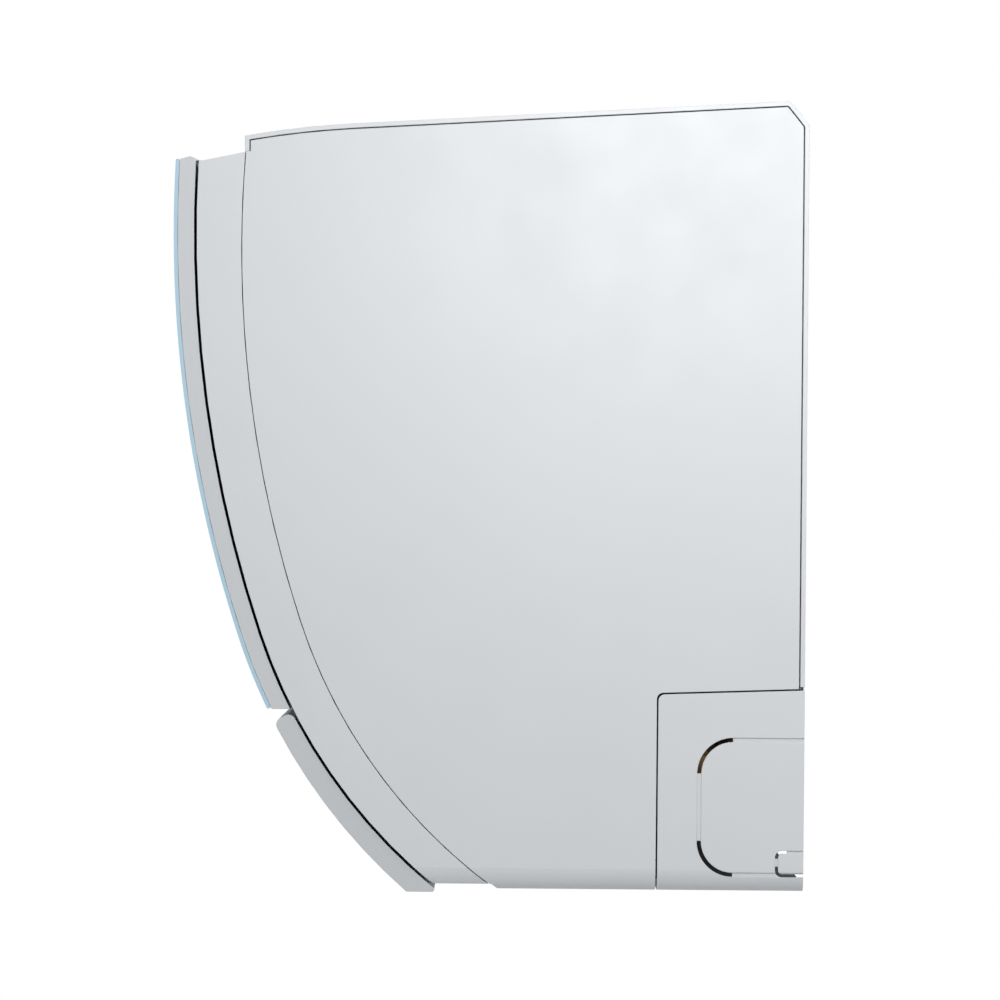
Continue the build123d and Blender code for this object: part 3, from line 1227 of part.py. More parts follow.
def pipe(centre, drop_x, run_height, end_x, radius):
    """A connecting pipe from a coil tube's end, down into the channel and along it."""
    start = COIL_RIGHT + TUBE_STUB
    y, z = centre
    x = DUCT_RIGHT + drop_x
    path = FilletPolyline(
        (start, y, z),
        (x, y, z),
        (x, PIPE_Y, z - 60),
        (x, PIPE_Y, run_height),
        (end_x, PIPE_Y, run_height),
        radius=12,
    )
    line = sweep(Plane(origin=(start, y, z), z_dir=(1, 0, 0)) * Circle(radius), path=path)
    flare = Location((end_x, PIPE_Y, run_height), (0, -90, 0)) * Cone(
        radius, radius + 1.8, FLARE_LENGTH, align=(Align.CENTER, Align.CENTER, Align.MIN)
    )
    return single(line + flare)


def flare_nut(end_x, height, flats, thread_radius, pipe_radius):
    """Hexagon flare nut, its threaded mouth facing away from the pipe."""
    mouth = end_x - NUT_BORE_LENGTH
    hexagon = RegularPolygon(flats / 2, 6, major_radius=False)
    nut = prism(Pos(PIPE_Y, height) * hexagon, mouth, mouth + NUT_LENGTH)
    nut -= rod(thread_radius, mouth - 1, end_x, PIPE_Y, height)
    nut -= rod(thread_radius + 0.6, end_x - FLARE_LENGTH, end_x, PIPE_Y, height)
    return single(nut - rod(pipe_radius + 0.15, mouth, mouth + NUT_LENGTH + 1, PIPE_Y, height))


# ================================================================ wall plate, electrics, small parts
def mounting_plate():
    """Steel wall plate with four screw holes, top hooks and stiffening ribs."""
    plate = box((-PLATE_HALF, PLATE_HALF), (-PLATE, 0), (PLATE_BOTTOM, PLATE_TOP))
    for x in (-HOOK_X, HOOK_X):
        span = (x - HOOK_HALF, x + HOOK_HALF)
        plate += box(span, (-HOOK_REACH, 0), (PLATE_TOP - PLATE, PLATE_TOP))
        plate += box(span, (-HOOK_REACH, -HOOK_REACH + PLATE), (PLATE_TOP - PLATE, POCKET_TOP - 1.0))
    for z in (PLATE_BOTTOM + 30, PLATE_TOP - 36):
        plate += box((-PLATE_HALF + 20, PLATE_HALF - 20), (-PLATE - 2.0, -PLATE + 0.5), (z, z + 8))
    for x in (-1, 1):
        for z in (-1, 1):
            at = (x * SCREW_SPACING_X / 2, 1, ORIGIN_HEIGHT + z * SCREW_SPACING_Z / 2)
            plate -= Location(at, (90, 0, 0)) * Cylinder(
                SCREW_HOLE_RADIUS, 10, align=(Align.CENTER, Align.CENTER, Align.MIN)
            )
    return single(plate)


def control_box():
    """Open-fronted tray for the electronics."""
    x, y, z = (BOX_X, HALF - 8.0), (BOX_FRONT_Y, BOX_REAR_Y), (BOX_LOW, BOX_HIGH)
    tray = box(x, y, z)
    tray -= box(
        (x[0] + BOX_WALL, x[1] - BOX_WALL),
        (y[0] - 1, y[1] - BOX_WALL),
        (z[0] + BOX_WALL, z[1] - BOX_WALL),
    )
    return single(tray)


def control_box_cover():
    """Flat cover over the tray's front."""
    x, z = (BOX_X, HALF - 8.0), (BOX_LOW, BOX_HIGH)
    cover = box(x, (BOX_FRONT_Y - BOX_WALL, BOX_FRONT_Y), z)
    lip = box(
        (x[0] + BOX_WALL + 0.3, x[1] - BOX_WALL - 0.3),
        (BOX_FRONT_Y - 0.5, BOX_FRONT_Y + 4),
        (z[0] + BOX_WALL + 0.3, z[1] - BOX_WALL - 0.3),
    )
    inner = box(
        (x[0] + 2 * BOX_WALL, x[1] - 2 * BOX_WALL),
        (BOX_FRONT_Y, BOX_FRONT_Y + 5),
        (z[0] + 2 * BOX_WALL, z[1] - 2 * BOX_WALL),
    )
    return single(cover + (lip - inner))


def main_board():
    """Circuit board with its tall components, upright in the tray."""
    back = BOX_REAR_Y - BOX_WALL - 6.0
    x0, x1 = BOX_X + BOX_WALL + 1, HALF - 8.0 - BOX_WALL - 1
    board = box((x0, x1), (back - 1.6, back), (BOX_LOW + BOX_WALL + 1, BOX_HIGH - BOX_WALL - 1))
    up = (Align.CENTER, Align.CENTER, Align.MIN)
    front = Plane(origin=(x0, back - 1.6, BOX_LOW), x_dir=(1, 0, 0), z_dir=(0, -1, 0))
    span = x1 - x0
    board += front * Pos(0.3 * span, 34) * Cylinder(11, 32, align=up)
    board += front * Pos(0.7 * span, 32) * Box(22, 26, 24, align=up)
    board += front * Pos(0.28 * span, 72) * Box(26, 22, 18, align=up)
    board += front * Pos(0.68 * span, 70) * Box(18, 14, 15, align=up)
    board += front * Pos(0.68 * span, 90) * Box(24, 8, 10, align=up)
    for i in range(3):
        board += front * Pos((0.2 + 0.1 * i) * span, 96) * Cylinder(3, 10, align=up)
    for z in (BOX_LOW + 14, BOX_HIGH - 14):
        for x in (x0 + 5, x1 - 5):
            post = Location((x, back, z), (-90, 0, 0)) * Cylinder(2.5, 6.0, align=up)
            board += post
    return single(board)


def terminal_block():
    """Mains terminal block on the underside of the tray."""
    x0 = HALF - 62.0
    block = box((x0, x0 + 48), (BOX_FRONT_Y + 22, BOX_FRONT_Y + 40), (BOX_LOW - 16, BOX_LOW))
    for i in range(5):
        x = x0 + 5 + i * 9.5
        block -= box((x - 3.4, x + 3.4), (BOX_FRONT_Y + 21, BOX_FRONT_Y + 29), (BOX_LOW - 14, BOX_LOW - 4))
        block += rod_y(2.4, x, BOX_LOW - 9, BOX_FRONT_Y + 27, BOX_FRONT_Y + 31)
    return single(block)


def rod_y(radius, x, z, start, end):
    """A round bar along Y."""
    return Location((x, start, z), (-90, 0, 0)) * Cylinder(
        radius, end - start, align=(Align.CENTER, Align.CENTER, Align.MIN)
    )


def room_sensor():
    """Air temperature bead in its clip on the right end plate."""
    (y, z), along, out, _ = slabs()[0]
    reach = TUBE_ROWS[0] + TUBE_RADIUS
    cy, cz = y + along[0] * 60 + out[0] * reach, z + along[1] * 60 + out[1] * reach
    start = COIL_RIGHT + END_PLATE
    clip = rod(3.0, start, start + 16, cy - 3.6, cz)
    clip += box((start, start + 3), (cy - 3.6, cy - 0.5), (cz - 2, cz + 2))
    return single(clip)


def pipe_sensor():
    """Copper-cased coil temperature sensor clipped beside the tube ends."""
    (y, z), along, out, _ = slabs()[0]
    cy, cz = y + along[0] * 8 - 0.5 + out[0] * 13, z + along[1] * 2 + out[1] * 13
    start = COIL_RIGHT + END_PLATE
    return single(rod(2.4, start, start + 26, cy, cz))


def filter_span(side):
    """(start, end) of one filter along X."""
    middle = (DUCT_LEFT + DUCT_RIGHT) / 2 - 10
    if side == "left":
        return -HALF + OPENING_INSET + 1.5, middle - FILTER_GAP / 2
    return middle + FILTER_GAP / 2, DUCT_RIGHT - 1.5


def filter_frame(side):
    """Curved lattice frame of one air filter."""
    start, end = filter_span(side)
    top, bottom = OPENING_TOP + 2, OPENING_BOTTOM - 0.5
    frame = prism(level_band(top, bottom, -FILTER_BACK, -FILTER_FRONT), start, end)
    cell_x = (end - start - 2 * FILTER_RIM + FILTER_RIB) / FILTER_RIB_COLUMNS
    cell_z = (top - bottom - 2 * FILTER_RIM + FILTER_RIB) / FILTER_RIB_ROWS
    for i in range(FILTER_RIB_COLUMNS):
        for j in range(FILTER_RIB_ROWS):
            x = start + FILTER_RIM + i * cell_x
            z = bottom + FILTER_RIM + j * cell_z
            frame -= box(
                (x, x + cell_x - FILTER_RIB),
                (-FACE_DEPTH - 5, -FACE_DEPTH + 60),
                (z, z + cell_z - FILTER_RIB),
            )
    return single(frame - filter_net(side, 0.0))


def filter_net(side, shrink=0.05):
    """Fine net let into the back of one filter frame."""
    start, end = filter_span(side)
    low, high = OPENING_BOTTOM + 2 + shrink, OPENING_TOP - 0.5 - shrink
    behind, ahead = (0, 0) if shrink else (1, 0.05)
    band = level_band(high, low, -FILTER_BACK - behind, -FILTER_BACK + NET + ahead)
    return single(prism(band, start + 2.5 + shrink, end - 2.5 - shrink))


def casing_screws():
    """Screws that hold the front frame to the chassis from below."""
    screws = []
    for station in SCREW_STATIONS:
        base = Plane((station, CASING_SCREW_Y, FRAME_BASE + CAP + 0.3))
        screw = pin(base, SCREW_HEAD_RADIUS, 0, SCREW_HEAD)
        screw += pin(base, CASING_SCREW_RADIUS, 0, 15)
        slot = Box(4.4, 0.9, 2.0)
        screw -= base * slot
        screw -= base * Rot(0, 0, 90) * slot
        screws.append(single(screw))
    return Compound(children=screws)


def screw_caps():
    """Round caps over the casing screws."""
    return Compound(
        children=[
            single(pin(Plane((station, CASING_SCREW_Y, FRAME_BASE)), CAP_RADIUS, 0.1, CAP))
            for station in SCREW_STATIONS
        ]
    )


# ================================================================ export
def nodes():
    """Every node's name and shape."""
    yield "mounting_plate", mounting_plate()
    yield "rear_chassis", rear_chassis()
    yield "outlet_duct", outlet_duct()
    yield "pan_liner", pan_liner()
    for index, name in enumerate(("front_lower", "front_upper", "rear")):
        yield f"coil_{name}", coil_slab(index)
    yield "coil_tubes", coil_tubes()
    for side in ("left", "right"):
        yield f"coil_end_plate_{side}", coil_end_plate(side)
    centres = tube_centres()
    yield "liquid_pipe", pipe(centres[0], LIQUID_DROP_X, LIQUID_HEIGHT, LIQUID_END, LIQUID_RADIUS)
    yield "gas_pipe", pipe(centres[-1], GAS_DROP_X, GAS_HEIGHT, GAS_END, GAS_RADIUS)
    yield "liquid_flare_nut", flare_nut(
        LIQUID_END, LIQUID_HEIGHT, LIQUID_NUT_FLATS, LIQUID_THREAD_RADIUS, LIQUID_RADIUS
    )
    yield "gas_flare_nut", flare_nut(GAS_END, GAS_HEIGHT, GAS_NUT_FLATS, GAS_THREAD_RADIUS, GAS_RADIUS)
    yield "fan_motor", fan_motor()
    yield "motor_mounts", motor_mounts()
    yield "motor_clamp", motor_clamp()
    yield "fan_bearing", fan_bearing()
    yield "fan_rotor", fan_rotor()
    yield "fan_shaft", fan_shaft()
    yield "control_box", control_box()
    yield "control_box_cover", control_box_cover()
    yield "main_board", main_board()
    yield "terminal_block", terminal_block()
    yield "display_board", display_board()
    yield "display_window", display_window()
    yield "room_sensor", room_sensor()
    yield "pipe_sensor", pipe_sensor()
    yield "top_shell", top_shell()
    for side, sign in (("left", -1), ("right", 1)):
        yield f"side_cover_{side}", side_cover(sign)
        yield f"corner_cover_{side}", corner_cover(sign)
        yield f"filter_frame_{side}", filter_frame(side)
        yield f"filter_net_{side}", filter_net(side)
        yield f"vane_motor_{side}", vane_motor(side)
        yield f"vane_link_{side}", vane_link(side)
    yield "front_frame", front_frame()
    yield "manual_button", manual_button()
    yield "front_panel_carrier", panel_carrier()
    yield "front_panel_skin", panel_skin()
    yield "flap_outer", flap_outer()
    yield "flap_inner", flap_inner()
    yield "flap_motor", flap_motor()
    yield "casing_screws", casing_screws()
    yield "screw_caps", screw_caps()
    counts = {"left": 0, "right": 0}
    for bank, x, driven in vane_stations():
        counts[bank] += 1
        yield f"vane_{bank}_{counts[bank]}", Pos(x, 0, 0) * vane_shape(driven)


def export():
    """Write one file for each node, with the origin moved to the wall plate's middle."""
    os.makedirs("parts", exist_ok=True)
    for name, shape in nodes():
        export_step(Pos(0, 0, -ORIGIN_HEIGHT) * shape, f"parts/{name}.step")


if __name__ == "__main__":
    export()
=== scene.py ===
"""Wall-mounted air conditioner indoor unit: fine pieces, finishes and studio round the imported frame."""

import math

import bmesh
import bpy
import numpy as np
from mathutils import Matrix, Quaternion, Vector


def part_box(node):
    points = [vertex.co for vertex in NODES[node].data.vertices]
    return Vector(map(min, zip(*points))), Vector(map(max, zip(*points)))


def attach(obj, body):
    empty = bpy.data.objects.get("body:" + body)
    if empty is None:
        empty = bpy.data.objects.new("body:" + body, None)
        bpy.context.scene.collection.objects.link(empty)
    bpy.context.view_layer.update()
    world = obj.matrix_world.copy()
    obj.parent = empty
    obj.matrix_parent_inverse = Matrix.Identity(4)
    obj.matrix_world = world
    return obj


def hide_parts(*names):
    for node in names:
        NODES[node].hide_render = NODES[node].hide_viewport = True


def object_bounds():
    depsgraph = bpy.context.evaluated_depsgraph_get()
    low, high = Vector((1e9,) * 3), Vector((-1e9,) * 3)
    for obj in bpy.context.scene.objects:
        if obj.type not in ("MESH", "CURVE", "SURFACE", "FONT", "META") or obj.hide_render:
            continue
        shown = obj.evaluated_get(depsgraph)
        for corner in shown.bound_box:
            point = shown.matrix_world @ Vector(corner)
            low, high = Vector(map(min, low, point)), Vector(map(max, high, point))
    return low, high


bl_info = {
    "name": "Split Air Conditioner Indoor Unit",
    "version": (1, 0, 0),
    "blender": (4, 5, 0),
    "location": "3D View > Sidebar > Air Conditioner",
    "description": "Makes the fine pieces, finishes and studio of a wall-mounted indoor unit",
    "category": "Add Mesh",
}

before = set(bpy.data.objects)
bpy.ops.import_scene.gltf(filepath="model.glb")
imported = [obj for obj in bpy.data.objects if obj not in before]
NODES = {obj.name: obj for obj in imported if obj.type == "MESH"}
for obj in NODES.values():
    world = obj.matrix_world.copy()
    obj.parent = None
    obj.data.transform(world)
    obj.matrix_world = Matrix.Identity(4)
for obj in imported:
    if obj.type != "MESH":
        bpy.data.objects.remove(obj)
CAD_LOW, CAD_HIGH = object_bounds()
MM = 0.001

# The casing's front outline, in metres: a wide face arc that turns into a tighter chin arc.
WALL_Y = CAD_HIGH[1]
BASE_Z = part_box("side_cover_right")[0][2]
FACE_DEPTH = 231.5 * MM
FACE_RADIUS = 477.7 * MM
FACE_CENTRE_RISE = 250.4 * MM
CHIN_RADIUS = 207.9 * MM
TURN = math.radians(18.9)

# How far outside the front outline the clear sheet's face and the filter nets' outer face lie.
SKIN_OUT = 8.7 * MM
NET_OUT = -8.6 * MM

# The cross-flow fan, from its rotor's left end.
FAN_CELLS = 6
FAN_BLADES = 35
FAN_STUB = 15.0 * MM
FAN_BLADE_DEPTH = 12.0 * MM
FAN_DISC = 2.5 * MM
FAN_RING = 2.0 * MM
FAN_SHAFT = 4.0 * MM
FAN_HUB = 10.0 * MM
FAN_HUB_LENGTH = 22.0 * MM
FAN_RIM_ROUND = 0.6 * MM

# Slabs of the heat exchanger that get real fins, and the two filters.
FIN_NODES = ("coil_front_lower", "coil_front_upper", "coil_rear")
FILTER_SIDES = ("left", "right")


# ---------------------------------------------------------------- values a user may change
class UnitSizes(bpy.types.PropertyGroup):
    """Sizes of the fine pieces."""

    fin_pitch: bpy.props.FloatProperty(
        name="Fin pitch", description="From one fin to the next", default=1.5 * MM, unit="LENGTH"
    )
    fin_sheet: bpy.props.FloatProperty(
        name="Fin sheet", description="Thickness of one fin", default=0.12 * MM, unit="LENGTH"
    )
    fin_wave: bpy.props.FloatProperty(
        name="Fin wave", description="Height of the corrugation across a fin", default=0.3 * MM, unit="LENGTH"
    )
    net_pitch: bpy.props.FloatProperty(
        name="Net pitch", description="From one filter thread to the next", default=1.2 * MM, unit="LENGTH"
    )
    net_thread: bpy.props.FloatProperty(
        name="Net thread", description="Width of one filter thread", default=0.26 * MM, unit="LENGTH"
    )
    blade_sheet: bpy.props.FloatProperty(
        name="Blade thickness", description="Fan blade at its thickest", default=1.3 * MM, unit="LENGTH"
    )
    blade_skew: bpy.props.FloatProperty(
        name="Blade skew",
        description="How far a blade turns over one cell of the fan",
        default=math.radians(3.5),
        subtype="ANGLE",
    )
    skin_sheet: bpy.props.FloatProperty(
        name="Clear skin",
        description="Thickness of the panel's clear sheet",
        default=1.45 * MM,
        unit="LENGTH",
    )
    edge_round: bpy.props.FloatProperty(
        name="Edge rounding", description="Rounding of moulded edges", default=0.35 * MM, unit="LENGTH"
    )


def colour(name, description, default):
    """A colour property with an alpha of one, given as linear red, green and blue."""
    return bpy.props.FloatVectorProperty(
        name=name, description=description, default=(*default, 1.0), size=4, min=0.0, max=1.0, subtype="COLOR"
    )


class UnitColours(bpy.types.PropertyGroup):
    """Colours of the finishes."""

    shell: colour("Shell", "Casing mouldings", (0.80, 0.82, 0.84))
    carrier: colour("Panel carrier", "Rear moulding of the front panel", (0.72, 0.74, 0.76))
    flap: colour("Flap", "Air flap mouldings", (0.68, 0.71, 0.73))
    skin: colour("Clear skin", "Tint of the clear sheet", (0.90, 0.96, 0.985))
    # The skin edge's pale blue is painted light: the glow that the clear sheet gathers and shows at its sawn
    # edges.
    edge: colour("Skin edge", "Sawn edges of the clear sheet", (0.56, 0.80, 0.94))
    # The chassis is painted near-black: painted shade for the dark inside seen through the casing's slits.
    chassis: colour("Chassis", "Rear chassis mouldings", (0.035, 0.036, 0.038))
    inner: colour("Air path", "Duct and vanes", (0.42, 0.44, 0.46))
    filters: colour("Filter frame", "Filter lattice", (0.30, 0.33, 0.36))
    net: colour("Filter net", "Filter threads", (0.10, 0.12, 0.14))
    fan: colour("Fan", "Cross-flow fan", (0.17, 0.18, 0.19))


class UnitStudio(bpy.types.PropertyGroup):
    """Camera, lights and floor."""

    floor_drop: bpy.props.FloatProperty(
        name="Floor drop", description="Floor below the mounting plate's middle", default=2.0, unit="LENGTH"
    )
    camera_gap: bpy.props.FloatProperty(
        name="Camera distance", description="Camera to the near end of the unit", default=3.0, unit="LENGTH"
    )
    lens: bpy.props.FloatProperty(name="Lens", description="Focal length in millimetres", default=286.6)
    look_y: bpy.props.FloatProperty(
        name="Look-at depth",
        description="Where the picture's middle is, from the wall",
        default=-0.1163,
        unit="LENGTH",
    )
    look_z: bpy.props.FloatProperty(
        name="Look-at height", description="Where the picture's middle is", default=-0.0213, unit="LENGTH"
    )
    roll: bpy.props.FloatProperty(
        name="Camera roll", description="Lean of the camera", default=math.radians(0.5), subtype="ANGLE"
    )
    ambient: bpy.props.FloatProperty(
        name="Ambient", description="Strength of the surrounding light", default=0.27
    )
    key: bpy.props.FloatProperty(
        name="Key light", description="Power of the side light", default=2.55, subtype="POWER", unit="POWER"
    )
    top: bpy.props.FloatProperty(
        name="Top light",
        description="Power of the overhead light",
        default=55.0,
        subtype="POWER",
        unit="POWER",
    )
    fill: bpy.props.FloatProperty(
        name="Fill light", description="Power of the front light", default=30.0, subtype="POWER", unit="POWER"
    )


# ---------------------------------------------------------------- surfaces from arrays
def grid_faces(copies, rows, columns):
    """Corner numbers of the cells of several grids, each closed round its columns."""
    row = np.arange(rows - 1)[:, None]
    column = np.arange(columns)[None, :]
    after = (column + 1) % columns
    here, above = row * columns, (row + 1) * columns
    cells = [here + column, here + after, above + after, above + column]
    cells = np.stack(np.broadcast_arrays(*cells), axis=-1).reshape(-1, 4)
    start = np.arange(copies)[:, None, None] * rows * columns
    return (start + cells).reshape(-1, 4)


def end_faces(copies, rows, columns):
    """One face over each end of several closed tubes."""
    start = np.arange(copies)[:, None] * rows * columns
    first = start + np.arange(columns)[::-1]
    last = start + (rows - 1) * columns + np.arange(columns)
    return np.concatenate([first, last])


def bars(points):
    """Closed bars: points[bar, station, corner] are sections along a path, with a face at each end."""
    copies, rows, columns, _ = points.shape
    faces = grid_faces(copies, rows, columns).tolist() + end_faces(copies, rows, columns).tolist()
    return points.reshape(-1, 3), faces


def turned(profile, centre, segments):
    """A closed (x, radius) profile turned about the line along X through centre (y, z)."""
    angle = np.linspace(0, 2 * np.pi, segments, endpoint=False)
    x, radius = profile[:, 0], profile[:, 1]
    y = centre[0] + radius[:, None] * np.cos(angle)
    z = centre[1] + radius[:, None] * np.sin(angle)
    points = np.stack([np.broadcast_to(x[:, None], y.shape), y, z], axis=-1)
    wrapped = np.concatenate([points, points[:1]])
    rows, columns = wrapped.shape[:2]
    faces = grid_faces(1, rows, columns) % (len(profile) * columns)
    return points.reshape(-1, 3), faces.tolist()


def make_piece(name, parts, body, material, smooth_angle=0.6):
    """One mesh object from (points, faces) parts, with outward faces, riding on a body of the frame."""
    points, faces, start = [], [], 0
    for part_points, part_faces in parts:
        points.append(part_points)
        faces += [[start + corner for corner in face] for face in part_faces]
        start += len(part_points)
    mesh = bpy.data.meshes.new(name)
    mesh.from_pydata(np.concatenate(points).tolist(), [], faces)
    outward(mesh)
    mesh.materials.append(material)
    piece = bpy.data.objects.new(name, mesh)
    bpy.context.scene.collection.objects.link(piece)
    mesh.shade_smooth()
    mesh.set_sharp_from_angle(angle=smooth_angle)
    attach(piece, body)
    return piece


def outward(mesh):
    """Turns every closed part of the mesh so that its faces point outwards."""
    made = bmesh.new()
    made.from_mesh(mesh)
    bmesh.ops.recalc_face_normals(made, faces=made.faces)
    made.to_mesh(mesh)
    made.free()


# ---------------------------------------------------------------- the casing's front outline
def front_point(angle, out):
    """(y, z) on the front outline where its normal points angle below the horizontal, moved out by out."""
    face_y, face_z = WALL_Y - FACE_DEPTH + FACE_RADIUS, BASE_Z + FACE_CENTRE_RISE
    chin_y = face_y - (FACE_RADIUS - CHIN_RADIUS) * math.cos(TURN)
    chin_z = face_z - (FACE_RADIUS - CHIN_RADIUS) * math.sin(TURN)
    on_face = angle <= TURN
    centre_y = np.where(on_face, face_y, chin_y)
    centre_z = np.where(on_face, face_z, chin_z)
    radius = np.where(on_face, FACE_RADIUS, CHIN_RADIUS) + out
    return np.stack([centre_y - radius * np.cos(angle), centre_z - radius * np.sin(angle)], axis=-1)


def front_angle(height, out):
    """The angle at which the outline, moved out by out, reaches a height."""
    angle = math.asin((BASE_Z + FACE_CENTRE_RISE - height) / (FACE_RADIUS + out))
    if angle <= TURN:
        return angle
    chin_z = BASE_Z + FACE_CENTRE_RISE - (FACE_RADIUS - CHIN_RADIUS) * math.sin(TURN)
    return math.asin((chin_z - height) / (CHIN_RADIUS + out))


# ---------------------------------------------------------------- finishes
class Finish:
    """A material under construction: its node tree, its shader and the object coordinates."""

    def __init__(self, name):
        self.material = bpy.data.materials.new(name)
        self.material.use_nodes = True
        self.tree = self.material.node_tree
        self.shader = self.tree.nodes["Principled BSDF"]
        self.place = self.add("ShaderNodeTexCoord").outputs["Object"]

    def add(self, kind, **values):
        """A new node with some of its sockets or settings given by name."""
        node = self.tree.nodes.new(kind)
        for key, value in values.items():
            socket = node.inputs.get(key.replace("_", " "))
            if hasattr(node, key):
                setattr(node, key, value)
            elif hasattr(value, "is_output"):
                self.tree.links.new(value, socket)
            else:
                socket.default_value = value
        return node

    def join(self, output, socket):
        """Links an output to a socket of the shader, by name."""
        self.tree.links.new(output, self.shader.inputs[socket])

    def stretched(self, scale):
        """Object coordinates, scaled along each axis."""
        return self.add("ShaderNodeMapping", Vector=self.place, Scale=scale).outputs["Vector"]

    def noise(self, scale, detail=2.0, vector=None):
        """Soft noise with features of about one over scale metres."""
        node = self.add("ShaderNodeTexNoise", Vector=vector or self.place, Scale=scale, Detail=detail)
        return node.outputs["Fac"]

    def cells(self, scale, output="Color", vector=None):
        """Cells of about one over scale metres, each with its own random colour."""
        return self.add("ShaderNodeTexVoronoi", Vector=vector or self.place, Scale=scale).outputs[output]

    def ranged(self, value, low, high, start=0.0, end=1.0):
        """A value moved from the range start to end into the range low to high."""
        node = self.add("ShaderNodeMapRange", Value=value)
        for socket, number in (("From Min", start), ("From Max", end), ("To Min", low), ("To Max", high)):
            node.inputs[socket].default_value = number
        return node.outputs["Result"]

    def mixed(self, factor, first, second):
        """A colour between two colours by a factor."""
        node = self.add("ShaderNodeMix", data_type="RGBA")
        for socket, value in ((node.inputs[0], factor), (node.inputs[6], first), (node.inputs[7], second)):
            if hasattr(value, "is_output"):
                self.tree.links.new(value, socket)
            else:
                socket.default_value = value
        return node.outputs[2]

    def bumped(self, height, depth, strength=1.0, rounding=0.0):
        """Fine relief on the shader, over edges softened by a rounding radius."""
        bump = self.add("ShaderNodeBump", Height=height, Distance=depth, Strength=strength)
        if rounding:
            soft = self.add("ShaderNodeBevel", samples=4, Radius=rounding)
            self.tree.links.new(soft.outputs["Normal"], bump.inputs["Normal"])
        self.join(bump.outputs["Normal"], "Normal")


def shaded(base, share):
    """A colour made darker by a share, its alpha kept."""
    return (*(channel * (1 - share) for channel in base[:3]), 1.0)


def moulded_plastic(name, base, roughness=0.36, grain=1500.0, relief=0.012, rounding=0.35 * MM):
    """Moulded plastic: a fine eroded grain, a broad faint change of tone and edges that catch the light."""
    finish = Finish(name)
    tone = finish.ranged(finish.noise(6.0, 3.0), 0.0, 1.0, 0.35, 0.65)
    finish.join(finish.mixed(tone, shaded(base, 0.02), tuple(base)), "Base Color")
    fine = finish.noise(grain, 2.0)
    gloss = finish.ranged(finish.noise(40.0, 4.0), roughness - 0.04, roughness + 0.05, 0.3, 0.7)
    finish.join(gloss, "Roughness")
    finish.shader.inputs["IOR"].default_value = 1.53
    finish.bumped(fine, relief * MM, 0.6, rounding)
    return finish.material


def clear_sheet(name, tint, thickness_roughness=0.02, clearness=0.35):
    """Clear acrylic with a cool tint over a white back coat, polished on its face."""
    finish = Finish(name)
    haze = finish.ranged(finish.noise(25.0, 3.0), thickness_roughness, thickness_roughness + 0.03, 0.4, 0.7)
    finish.join(haze, "Roughness")
    tone = finish.ranged(finish.noise(4.0, 1.0), 0.0, 1.0, 0.4, 0.6)
    finish.join(finish.mixed(tone, shaded(tint, 0.03), tuple(tint)), "Base Color")
    finish.shader.inputs["IOR"].default_value = 1.49
    finish.shader.inputs["Transmission Weight"].default_value = clearness
    return finish.material


def frosted_edge(name, tint):
    """Sawn edge of a clear sheet, which gathers the light of the whole sheet and shows it as a pale tint."""
    finish = Finish(name)
    saw = finish.noise(1.0, 2.0, finish.stretched((400.0, 2500.0, 2500.0)))
    finish.join(finish.mixed(saw, shaded(tint, 0.06), tuple(tint)), "Base Color")
    finish.shader.inputs["Roughness"].default_value = 0.3
    finish.shader.inputs["Coat Weight"].default_value = 0.5
    finish.bumped(saw, 0.01 * MM, 0.4)
    return finish.material


def sheet_metal(name, base, spangle=120.0, roughness=0.38, contrast=0.16):
    """Zinc or tin plated steel: crystal spangle in its tone and gloss, with faint rolling lines."""
    finish = Finish(name)
    crystal = finish.cells(spangle)
    grey = finish.add("ShaderNodeRGBToBW", Color=crystal).outputs["Val"]
    finish.join(finish.mixed(grey, shaded(base, contrast), tuple(base)), "Base Color")
    finish.join(finish.ranged(grey, roughness - 0.08, roughness + 0.08), "Roughness")
    finish.shader.inputs["Metallic"].default_value = 1.0
    rolled = finish.noise(1.0, 2.0, finish.stretched((25.0, 900.0, 900.0)))
    finish.bumped(rolled, 0.01 * MM, 0.5, 0.2 * MM)
    return finish.material


def drawn_metal(name, base, stain, roughness=0.28, stretch=(30.0, 700.0, 700.0)):
    """Drawn or turned metal: fine lines along the part and a darker handling stain in patches."""
    finish = Finish(name)
    patches = finish.ranged(finish.noise(45.0, 5.0), 0.0, 0.7, 0.45, 0.75)
    finish.join(finish.mixed(patches, tuple(base), tuple(stain)), "Base Color")
    lines = finish.noise(1.0, 2.0, finish.stretched(stretch))
    finish.join(finish.ranged(lines, roughness - 0.06, roughness + 0.12, 0.3, 0.7), "Roughness")
    finish.shader.inputs["Metallic"].default_value = 1.0
    finish.bumped(lines, 0.008 * MM, 0.4)
    return finish.material


def soft_rubber(name, base):
    """Matt rubber or foam with an open, uneven skin, its pores painted darker: painted shade in the recesses.
    """
    finish = Finish(name)
    pores = finish.noise(900.0, 4.0)
    # Where the bump sinks into a pore, the colour is up to 20% darker: painted shade in the recesses.
    depth = finish.ranged(pores, 0.0, 1.0, 0.3, 0.7)
    finish.join(finish.mixed(depth, shaded(base, 0.2), tuple(base)), "Base Color")
    finish.shader.inputs["Roughness"].default_value = 0.85
    finish.bumped(pores, 0.08 * MM, 0.8)
    return finish.material


def smoked_window(name):
    """Dark see-through lens over the display."""
    finish = Finish(name)
    finish.join(finish.ranged(finish.noise(60.0, 2.0), 0.05, 0.12, 0.4, 0.6), "Roughness")
    finish.shader.inputs["Base Color"].default_value = (0.02, 0.024, 0.03, 1.0)
    finish.shader.inputs["Coat Weight"].default_value = 0.6
    return finish.material


